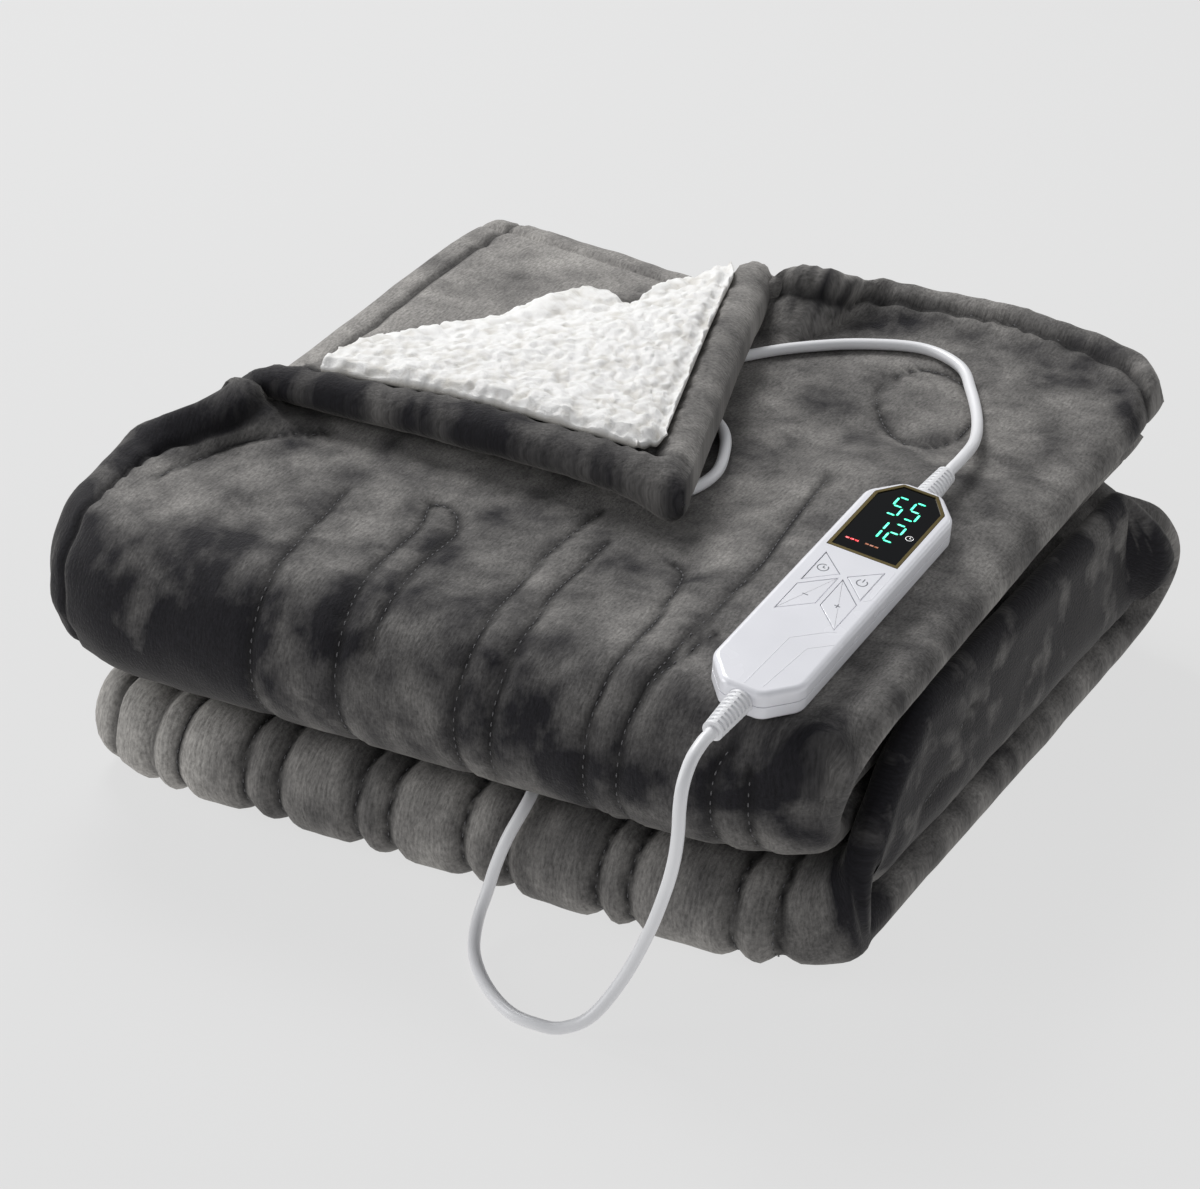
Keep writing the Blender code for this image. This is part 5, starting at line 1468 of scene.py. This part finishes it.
def shade_and_pile_tone(xs, vs):
    """How much lighter or darker the flannel is painted, by the parts of the throw: painted shade on
    the upper roll's front, darkest at its left end, and on the collar's side, with random dark spots;
    a painted highlight on the lower roll's front, brightest at its left end; painted shadow behind the
    back hem and between the gathers where it arches over the fold line. It is also darker on the
    turned corner's left band and the band down the roll's left end, and lighter on the rest of the
    turned corner, towards the back of the top ply and on the second ply."""
    front = bell(vs, UPPER_FRONT, 0.050)
    low = bell(vs, LOWER_FRONT, 0.045)
    left = from_left(xs, vs)
    far = past_fold(xs, vs)
    turned = smooth(far / 0.03) * (vs > TOP_START)
    band = smooth((0.030 - left) / 0.006)
    collar = smooth((xs - 0.165) / 0.02) * (vs < -0.60) * (vs > -1.10)
    lower_end = smooth((0.216 - xs) / 0.02)
    # painted shade on the upper roll's front, darker towards its left end
    tone = -0.090 * front * (1 + 1.5 * smooth((-0.02 - xs) / 0.14))
    # painted highlight on the lower roll's front, strongest at its left end
    tone += low * lower_end * (0.06 + 0.56 * smooth((-0.100 - xs) / 0.09))
    tone += turned * (-0.13 * band + 0.07 * (1 - band))
    tone += -0.13 * band * (1 - turned) * (vs < -0.05) * (vs > -0.34)
    spots = smooth((lumps(np.stack((xs, vs, 0 * xs), -1), 0.017, 31) - 0.10) / 0.25)
    # painted shade on the collar's side, with random darker spots, less where the lower roll's painted
    # highlight reaches; lighter on the second ply
    tone += -(0.13 + 0.14 * spots) * collar * (1 - low * lower_end) + 0.12 * (vs < -1.95)
    tone += 0.04 * smooth((vs - 0.02) / 0.1) * (1 - turned) * (vs > TOP_START)
    top = hem_gap(xs, vs)[0]
    # painted shade in stripes between the small gathers where the back hem arches over the fold line
    arch = bell(xs, ARCH_AT - 0.005, 0.011) * smooth((0.036 - top) / 0.01)
    tone -= 0.10 * arch * (1 + np.sin(2 * pi * xs / ARCH_PITCH))
    # painted shadow behind the back hem
    tone -= 0.13 * bell(top, 0.042, 0.018) * smooth((xs - 0.02) / 0.03)
    return tone


class BLANKET_OT_cloth(Operator):
    """The folded throw: padded flannel with hems, quilting and crushed pile"""
    bl_idname = "heated_blanket.cloth"
    bl_label = "Cloth"

    def execute(self, context):
        xs, vs = cloth_grid()
        middle = np.array([[tuple(fold(x, v)) for x, v in zip(*row)] for row in zip(xs, vs)])
        middle = relaxed(xs, vs, lifted(xs, vs, middle))
        thick = np.array([[thickness(x, v) for x, v in zip(*row)] for row in zip(xs, vs)])
        thick *= channel_puff(xs, vs) * (1 - BAND_THINNED * band_start(xs, vs))
        normal = grid_normals(middle)
        faces, hollow_shades = [], []
        rim = np.clip(thick / 0.012, 0, 1)
        for side in (1, -1):
            out, hollow_shade = relief(xs, vs, middle, side)
            face = middle + side * normal * (thick / 2 + out * rim)[..., None]
            face[..., 2] = np.maximum(face[..., 2], 0.0)
            faces.append(face)
            hollow_shades.append(hollow_shade)
        cloth = closed_grid("flannel_throw", *faces)
        add_pattern(cloth.data, xs, vs)
        # painted shade of the grooves, for both faces
        add_values(cloth.data, "hollow_shade", np.stack(hollow_shades))
        # painted shade and painted highlight by the parts of the throw, the same on both faces
        add_values(cloth.data, "tone", np.stack((shade_and_pile_tone(xs, vs), shade_and_pile_tone(xs, vs))))
        settle(cloth, flannel(), ("blanket_cloth",), smooth=80)
        return {"FINISHED"}


class BLANKET_OT_lining(Operator):
    """The curly lining, where the turned corner shows it"""
    bl_idname = "heated_blanket.lining"
    bl_label = "Lining"

    def execute(self, context):
        s = sizes()
        last = CORNER_FAR * (LINE_LENGTH - 2 * LINING_INSET - LINING_POINT) / LINE_LENGTH
        start = pi * flap_radius(1.0) * LINING_FROM
        rows, columns = LINING_GRID
        xs, vs, rim, thick = np.zeros((4, rows, columns))
        middle, normal = np.zeros((2, rows, columns, 3))
        for r in range(rows):
            for c in range(columns):
                share = c / (columns - 1)
                begin = start * float(np.interp(share, *zip(*LINING_EDGE)))
                begin += 0.0022 * noise.noise(Vector((share * 34, 0, 0))) * (share > 0.08)
                far = mix(begin, last + 0.5 * LINING_TUCK, r / (rows - 1))
                left, right = lining_bounds(min(far, last))
                left, right = left - 0.75 * LINING_TUCK, right + LINING_TUCK
                x, v = FOLD_LEFT + LINE * mix(left, right, share) + BEYOND * far
                up = cloth_normal(x, v)
                thick[r, c] = thickness(x, v)
                outward = thick[r, c] / 2 + LINING_CLEAR + LINING_THICK / 2
                middle[r, c] = fold(x, v) - up * outward
                normal[r, c] = -up
                xs[r, c], vs[r, c] = x, v
                rim[r, c] = min(share * (right - left), (1 - share) * (right - left), last - far)
        round_off = np.vectorize(lambda d: max(0.25, rounded_rim(d + 0.0005, LINING_RIM)))(rim)
        middle = lifted(xs, vs, middle)
        middle -= normal * (thick / 2 * BAND_THINNED * band_start(xs, vs))[..., None]
        high, deep = curls(middle, s.curl_size)
        edge = np.clip(rim / 0.004, 0, 1)
        half = LINING_THICK / 2 * round_off
        top = middle + normal * (half + s.curl_high * high * (0.70 + 0.30 * edge))[..., None]
        top += 0.0014 * np.stack([lumps(middle, 0.0045, 11 + k) for k in range(3)], -1)
        top += normal * (0.0022 * lumps(middle, 0.017, 21))[..., None]
        foot = middle - normal * half[..., None]
        lining = closed_grid("sherpa_corner", top, foot)
        # painted shade between the curls on the lining's top face, and the full shade colour on its
        # hidden foot
        add_values(lining.data, "hollow_shade", np.stack((deep, np.ones(deep.shape))))
        settle(lining, sherpa(), ("sherpa_lining",), smooth=180)
        return {"FINISHED"}


def lining_bounds(far):
    share = far / CORNER_FAR
    left_slope = Vector((CORNER_FAR, -CORNER_ALONG)).normalized().x
    right_slope = Vector((CORNER_FAR, LINE_LENGTH - CORNER_ALONG)).normalized().x
    left = share * CORNER_ALONG + LINING_INSET / left_slope
    return left, mix(LINE_LENGTH, CORNER_ALONG, share) - LINING_INSET / right_slope


def curls(places, size):
    """Height of the pile's curls from 0 to 1, and how deep between them a place is, for the painted
    shade there.
    """
    noise.seed_set(CURL_SEED)
    flat = places.reshape(-1, 3)
    high = np.zeros(len(flat))
    for number, place in enumerate(flat):
        p = Vector(place) / size
        warped = p + 0.45 * noise.noise_vector(p * 0.9)
        near = noise.voronoi(warped)[0]
        tuft = 1 - min(1.0, near[0] * 1.15) ** 2
        fine = noise.noise(p * 2.3) * 0.5 + 0.5
        broad = noise.noise(p * 0.28) * 0.5 + 0.5
        high[number] = 0.50 * tuft + 0.22 * fine + 0.35 * broad
    high = high.reshape(places.shape[:-1])
    return high, np.clip(1.15 - 1.5 * high, 0, 1)


class BLANKET_OT_stitching(Operator):
    """The quilting and hem stitches, one small bead of thread for each"""
    bl_idname = "heated_blanket.stitching"
    bl_label = "Stitching"

    def execute(self, context):
        s = sizes()
        clear_selection()
        bpy.ops.mesh.primitive_uv_sphere_add(segments=6, ring_count=4, radius=0.5)
        bead = open_piece("stitch")
        shape = np.array([v.co for v in bead.data.vertices])
        loops = [list(face.vertices) for face in bead.data.polygons]
        bpy.data.objects.remove(bead)
        rows = list(stitched_rows())
        rows += [(row, 1, 0.0) for row in hem_rows()]
        points, faces = [], []
        for row, side, deep in rows:
            for place, way, out in stitch_places(row, side, deep, s.stitch_pitch):
                across = way.cross(out)
                turn = np.array([list(way * s.stitch_long), list(across * s.stitch_thick),
                                 list(out * s.stitch_thick)])
                base = len(points) * len(shape)
                points.append(shape @ turn + np.array(place))
                faces += [[base + n for n in loop] for loop in loops]
        mesh = bpy.data.meshes.new("quilting_stitches")
        mesh.from_pydata(np.concatenate(points).tolist(), [], faces)
        thing = bpy.data.objects.new("quilting_stitches", mesh)
        bpy.context.scene.collection.objects.link(thing)
        settle(thing, twisted_thread(), smooth=60)
        return {"FINISHED"}


def hem_rows():
    """The stitching behind the top hem, right of the turned corner."""
    return [smooth_row([(x, top_hem(x) - HEM_GROOVE) for x in np.linspace(0.045, 0.190, 12)])]


def stitch_places(row, side, deep, pitch):
    """Place, direction and outward normal of each stitch along a row."""
    s = sizes()
    path = [Vector((*p, 0)) for p in row]
    long = sum((b - a).length for a, b in zip(path, path[1:]))
    count = max(3, round(long / pitch))
    pattern = even_route(path, count)
    xs = np.array([p.x for p in pattern])
    vs = np.array([p.y for p in pattern])
    middle = np.array([tuple(fold(x, v)) for x, v in zip(xs, vs)])
    raised = lifted(xs, vs, middle)
    out, _ = relief(xs, vs, raised, side)
    thick = np.array([thickness(x, v) for x, v in zip(xs, vs)]) * channel_puff(xs, vs)
    places = []
    for n in range(1, len(pattern) - 1):
        outward = cloth_normal(xs[n], vs[n]) * side
        high = thick[n] / 2 + out[n] + 0.12 * s.stitch_thick
        place = Vector(raised[n]) + outward * high
        way = Vector(raised[n + 1]) - Vector(raised[n - 1])
        way = (way - outward * way.dot(outward)).normalized()
        places.append((place, way, outward))
    return places


# ---------------------------------------------------------------- the hand controller
def control_outline():
    half, end, wide, slant = CONTROL_LENGTH / 2, CONTROL_END, CONTROL_WIDTH / 2, CONTROL_SLANT
    return ((-end, -half), (end, -half), (wide, -half + slant), (wide, half - slant),
            (end, half), (-end, half), (-wide, half - slant), (-wide, -half + slant))


def grown(outline, distance):
    """A convex outline moved outward by a distance."""
    points = [Vector(p) for p in outline]
    middle = sum(points, Vector((0, 0))) / len(points)
    moved = []
    for before, here, after in zip(points[-1:] + points[:-1], points, points[1:] + points[:1]):
        sides = []
        for a, b in ((before, here), (here, after)):
            normal = Vector((b.y - a.y, a.x - b.x)).normalized()
            sides.append(-normal if normal.dot(middle - a) > 0 else normal)
        corner = sides[0] + sides[1]
        moved.append(tuple(here + corner * (distance / (corner.length_squared / 2))))
    return moved


class BLANKET_OT_case(Operator):
    """The controller's two shell halves, with seats for the window and the keys"""
    bl_idname = "heated_blanket.case"
    bl_label = "Controller case"

    def execute(self, context):
        s = sizes()
        below, above = SHELL_SPLIT - SHELL_GAP / 2, SHELL_SPLIT + SHELL_GAP / 2
        lower = plate("case_lower", control_outline(), 0, below)
        round_edges(lower, upright, CASE_CORNER, 5)
        round_edges(lower, level_at(0), 0.0024, 4)
        round_edges(lower, level_at(below), 0.0003, 2)
        upper = plate("case_upper", control_outline(), above, CONTROL_THICK)
        round_edges(upper, upright, CASE_CORNER, 5)
        round_edges(upper, level_at(CONTROL_THICK), s.case_round, 7)
        round_edges(upper, level_at(above), 0.0003, 2)
        seat = plate("seat", grown(WINDOW, 0.0009), CONTROL_THICK - 0.0022, CONTROL_THICK + 0.002)
        cut_out(upper, seat)
        for outline in KEY_OUTLINES.values():
            cut_out(upper, plate("hole", grown(outline, 0.00035), CONTROL_THICK - KEY_DEEP - 0.0014,
                                 CONTROL_THICK + 0.002))
        lines = [((-0.0005, -0.0915), (0.0008, -0.0500), (0.0137, -0.0365), (0.0175, -0.0340)),
                 ((0.0080, -0.0890), (0.0115, -0.0530), (0.0210, -0.0435)),
                 ((0.0196, 0.0235), (0.0196, -0.0030), (0.0170, -0.0060))]
        ridges = stroke("case_ridges", lines, 0.0006, 0.00022)
        ridges.data.transform(Matrix.Translation((0, 0, CONTROL_THICK)))
        for thing, node in ((lower, "controller_lower_shell"), (upper, "controller_upper_shell")):
            settle(thing, case_plastic(), (node,), place=CONTROL_FRAME, smooth=30)
        settle(ridges, case_plastic(), place=CONTROL_FRAME)
        return {"FINISHED"}


def clock_mark(x, y, radius, start, long_hand, short_hand):
    """A clock's open ring and two hands, as lines."""
    return [arc(x, y, radius, start, start + 330), ((x, y), (x, y + long_hand)),
            ((x, y), (x + short_hand, y))]


def digit(segments, x, y):
    """Outlines of a seven-segment digit's lit bars: a top, b and c right, d foot, e and f left."""
    s = sizes()
    half, high, thick = s.digit_wide / 2, s.digit_high / 2, 0.00055
    short = 0.0009
    bars = {"a": (0, high, 0), "g": (0, 0, 0), "d": (0, -high, 0), "b": (half, high / 2, 1),
            "c": (half, -high / 2, 1), "e": (-half, -high / 2, 1), "f": (-half, high / 2, 1)}
    made = []
    for name in segments:
        bx, by, up = bars[name]
        long = (high / 2 if up else half) - short
        shape = ((-long, -thick), (long - thick, -thick), (long, 0), (long - thick, thick),
                 (-long, thick), (-long - thick, 0))
        shape = [point[::-1] for point in shape] if up else shape
        made.append([(x + bx + px, y + by + py) for px, py in shape])
    return made


class BLANKET_OT_display(Operator):
    """The display: a dark window in its bevelled edge, its digits, lamps and clock mark"""
    bl_idname = "heated_blanket.display"
    bl_label = "Display"

    def execute(self, context):
        c = colours()
        face = DISPLAY_FACE
        glass = plate("window_glass", grown(WINDOW, -0.0008), CONTROL_THICK - 0.0020, face)
        round_edges(glass, upright, 0.0008, 3)
        round_edges(glass, level_at(face), 0.0002, 2)
        smoked = moulded("acrylic_smoked_polished", tuple(c.glass), 0.08, texture=0.000005, ior=1.33)
        settle(glass, smoked, ("display_window",), place=CONTROL_FRAME)
        edge = plate("window_edge", grown(WINDOW, 0.0006), CONTROL_THICK - 0.0018,
                     CONTROL_THICK + 0.0001)
        round_edges(edge, upright, 0.0009, 3)
        cut_out(edge, plate("opening", grown(WINDOW, -0.0010), CONTROL_THICK - 0.003,
                            CONTROL_THICK + 0.003))
        bezel, tree, shader = new_material("aluminium_edge_anodised", Metallic=0.75, Roughness=0.34)
        mottle(tree, shader, cloud(tree, object_place(tree), 900), c.bezel, 0.8)
        settle(edge, bezel, place=CONTROL_FRAME)
        bars = [bar for segments, x, y in (("afgcd", -0.0038, 0.0738), ("afgcd", 0.0056, 0.0738),
                                           ("bc", -0.0043, 0.0523), ("abged", 0.0049, 0.0523))
                for bar in digit(segments, x, y)]
        self.lamps("display_digits", bars, lit("led_segment_green", tuple(c.digits), 1.6))
        self.lamps("display_red_lamp", self.dashes(-0.0138, 0.0368),
                   lit("led_bar_red", tuple(c.red), 1.4))
        self.lamps("display_amber_lamp", self.dashes(-0.0034, 0.0370),
                   lit("led_bar_amber", tuple(c.amber), 0.8))
        clock = stroke("display_clock", clock_mark(0.0128, 0.0525, 0.0019, 60, 0.0012, 0.0009),
                       0.0003, 0.00006)
        clock.data.transform(Matrix.Translation((0, 0, face + 0.00003)))
        settle(clock, lit("led_mark_white", linear("E8E8E8"), 0.7), place=CONTROL_FRAME)
        return {"FINISHED"}

    def dashes(self, x, y):
        """Three short bars in a row, in place of a word."""
        starts = [x + n * 0.0025 for n in range(3)]
        return [rectangle(start, start + 0.0019, y - 0.0005, y + 0.0005) for start in starts]

    def lamps(self, name, outlines, material):
        things = [plate(f"{name}_{n}", outline, DISPLAY_FACE - 0.00002, DISPLAY_FACE + 0.00006)
                  for n, outline in enumerate(outlines)]
        settle(join(name, things), material, place=CONTROL_FRAME, smooth=0)


class BLANKET_OT_keys(Operator):
    """The four keys and their printed symbols, each riding on its own body"""
    bl_idname = "heated_blanket.keys"
    bl_label = "Keys"

    def execute(self, context):
        ink, tree, shader = new_material("pad_print_grey", Roughness=0.5)
        mottle(tree, shader, cloud(tree, object_place(tree), 2500, 1), colours().ink, 0.85)
        symbols = {
            "key_timer": clock_mark(-0.0112, 0.0076, 0.0027, 75, 0.0016, 0.0012),
            "key_power": [arc(0.0100, 0.0068, 0.0026, 125, 415),
                          ((0.0100, 0.0074), (0.0100, 0.0102))],
            "key_minus": [((-0.0100, -0.0160), (-0.0070, -0.0160))],
            "key_plus": [((0.0070, -0.0160), (0.0100, -0.0160)),
                         ((0.0085, -0.0175), (0.0085, -0.0145))],
        }
        for name, outline in KEY_OUTLINES.items():
            key = plate(f"{name}_cap", outline, CONTROL_THICK - KEY_DEEP, CONTROL_THICK)
            round_edges(key, upright, 0.0006, 3)
            round_edges(key, level_at(CONTROL_THICK), 0.00035, 3)
            settle(key, case_plastic(), (name,), body=name, place=CONTROL_FRAME,
                   smooth=30)
            mark = stroke(f"{name}_symbol", symbols[name], 0.0006, 0.00008)
            mark.data.transform(Matrix.Translation((0, 0, CONTROL_THICK)))
            settle(mark, ink, body=name, place=CONTROL_FRAME)
        return {"FINISHED"}


class BLANKET_OT_reliefs(Operator):
    """The ribbed strain reliefs at the controller's ends"""
    bl_idname = "heated_blanket.reliefs"
    bl_label = "Strain reliefs"

    def execute(self, context):
        ribs = 8
        pitch = RELIEF_LENGTH / (ribs + 0.5)
        sections = []
        for n in range(ribs + 1):
            radius = mix(RELIEF_WIDE, RELIEF_NARROW, n / ribs)
            low = n * pitch
            sections += [(radius, low), (radius, low + pitch * 0.5)]
            if n < ribs:
                neck = radius - 0.0013
                sections += [(neck, low + pitch * 0.54), (neck, low + pitch * 0.96)]
        for name, side in (("relief_blanket_end", 1), ("relief_mains_end", -1)):
            body = lathe(f"{name}_boot", sections, 40)
            bars = []
            for n in range(4):
                shape = rectangle(-0.0011, 0.0011, RELIEF_NARROW * 0.4, RELIEF_NARROW * 0.97)
                bar = plate("bar", shape, 0.0002, RELIEF_LENGTH - 0.0002)
                for vert in bar.data.vertices:
                    if vert.co.z < 0.01 and vert.co.y > RELIEF_NARROW * 0.6:
                        vert.co.y = RELIEF_WIDE * 0.97
                bar.data.transform(Matrix.Rotation(n * pi / 2, 4, "Z"))
                bars.append(bar)
            body = join(f"{name}_boot", [body, *bars])
            foot = 0, side * (CONTROL_LENGTH / 2 + TOUCH), CONTROL_THICK / 2
            turn = Matrix.Rotation(-side * pi / 2, 4, "X")
            settle(body, jacket(), (name,), smooth=30,
                   place=CONTROL_FRAME @ Matrix.Translation(foot) @ turn)
        return {"FINISHED"}


# ---------------------------------------------------------------- stage
class BLANKET_OT_stage(Operator):
    """Camera, pale floor and soft studio light"""
    bl_idname = "heated_blanket.stage"
    bl_label = "Stage"

    def execute(self, context):
        scene = context.scene
        back = Vector((sin(AZIMUTH) * cos(ELEVATION), -cos(AZIMUTH) * cos(ELEVATION),
                       sin(ELEVATION)))
        camera = bpy.data.objects.new("camera", bpy.data.cameras.new("camera"))
        scene.collection.objects.link(camera)
        camera.location = AIM + back * DISTANCE
        camera.rotation_euler = back.to_track_quat("Z", "Y").to_euler()
        camera.data.lens = LENS
        camera.data.sensor_width = SENSOR
        scene.camera = camera
        scene.view_settings.view_transform = "Standard"
        clear_selection()
        bpy.ops.mesh.primitive_plane_add(size=24, location=(0, 0, -0.0004))
        floor = open_piece("floor")
        floor.data.transform(floor.matrix_world)
        floor.matrix_world = Matrix.Identity(4)
        colour = tuple(colours().floor)
        paper = new_material("floor_paper_matt", Roughness=0.9, Specular_IOR_Level=0.0,
                             Base_Color=(*(0.10 * part for part in colour), 1),
                             Emission_Color=(*colour, 1), Emission_Strength=0.86)[0]
        floor.data.materials.append(paper)
        world = bpy.data.worlds.new("studio")
        scene.world = world
        world.use_nodes = True
        sky = world.node_tree.nodes["Background"].inputs
        sky["Color"].default_value = (0.95, 0.97, 1.0, 1)
        sky["Strength"].default_value = 0.30
        self.lamp("key", (-1.1, 0.9, 1.7), 0.9, 37)
        self.lamp("front_fill", (-1.9, -1.3, 0.9), 1.0, 20)
        self.lamp("right_rim", (1.1, 1.6, 1.0), 0.7, 4)
        self.lamp("right_fill", (1.6, -1.4, 0.8), 1.0, 3)
        return {"FINISHED"}

    def lamp(self, name, place, size, power):
        lamp = bpy.data.objects.new(name, bpy.data.lights.new(name, "AREA"))
        bpy.context.scene.collection.objects.link(lamp)
        lamp.location = place
        away = Vector(place) - Vector((0, 0, 0.08))
        lamp.rotation_euler = away.to_track_quat("Z", "Y").to_euler()
        lamp.data.size = size
        lamp.data.energy = power


PIECES = (BLANKET_OT_stage, BLANKET_OT_connector, BLANKET_OT_tie, BLANKET_OT_plug, BLANKET_OT_cords,
          BLANKET_OT_case, BLANKET_OT_display, BLANKET_OT_keys, BLANKET_OT_reliefs,
          BLANKET_OT_cloth, BLANKET_OT_lining, BLANKET_OT_stitching)


class BLANKET_PT_panel(Panel):
    """The blanket's pieces, sizes and colours"""
    bl_idname = "BLANKET_PT_panel"
    bl_label = "Folded electric blanket"
    bl_space_type = "VIEW_3D"
    bl_region_type = "UI"
    bl_category = "Blanket"

    def draw(self, context):
        for piece in PIECES:
            self.layout.operator(piece.bl_idname)
        for group in (context.scene.blanket_sizes, context.scene.blanket_colours):
            box = self.layout.box()
            for name in group.__annotations__:
                box.prop(group, name)


CLASSES = (BlanketSizes, BlanketColours, *PIECES, BLANKET_PT_panel)


def register():
    for kind in CLASSES:
        bpy.utils.register_class(kind)
    bpy.types.Scene.blanket_sizes = PointerProperty(type=BlanketSizes)
    bpy.types.Scene.blanket_colours = PointerProperty(type=BlanketColours)


def unregister():
    del bpy.types.Scene.blanket_sizes
    del bpy.types.Scene.blanket_colours
    for kind in reversed(CLASSES):
        bpy.utils.unregister_class(kind)


def main():
    register()
    clear_selection()
    for piece in PIECES:
        group, name = piece.bl_idname.split(".")
        getattr(getattr(bpy.ops, group), name)()


if __name__ == "__main__":
    main()
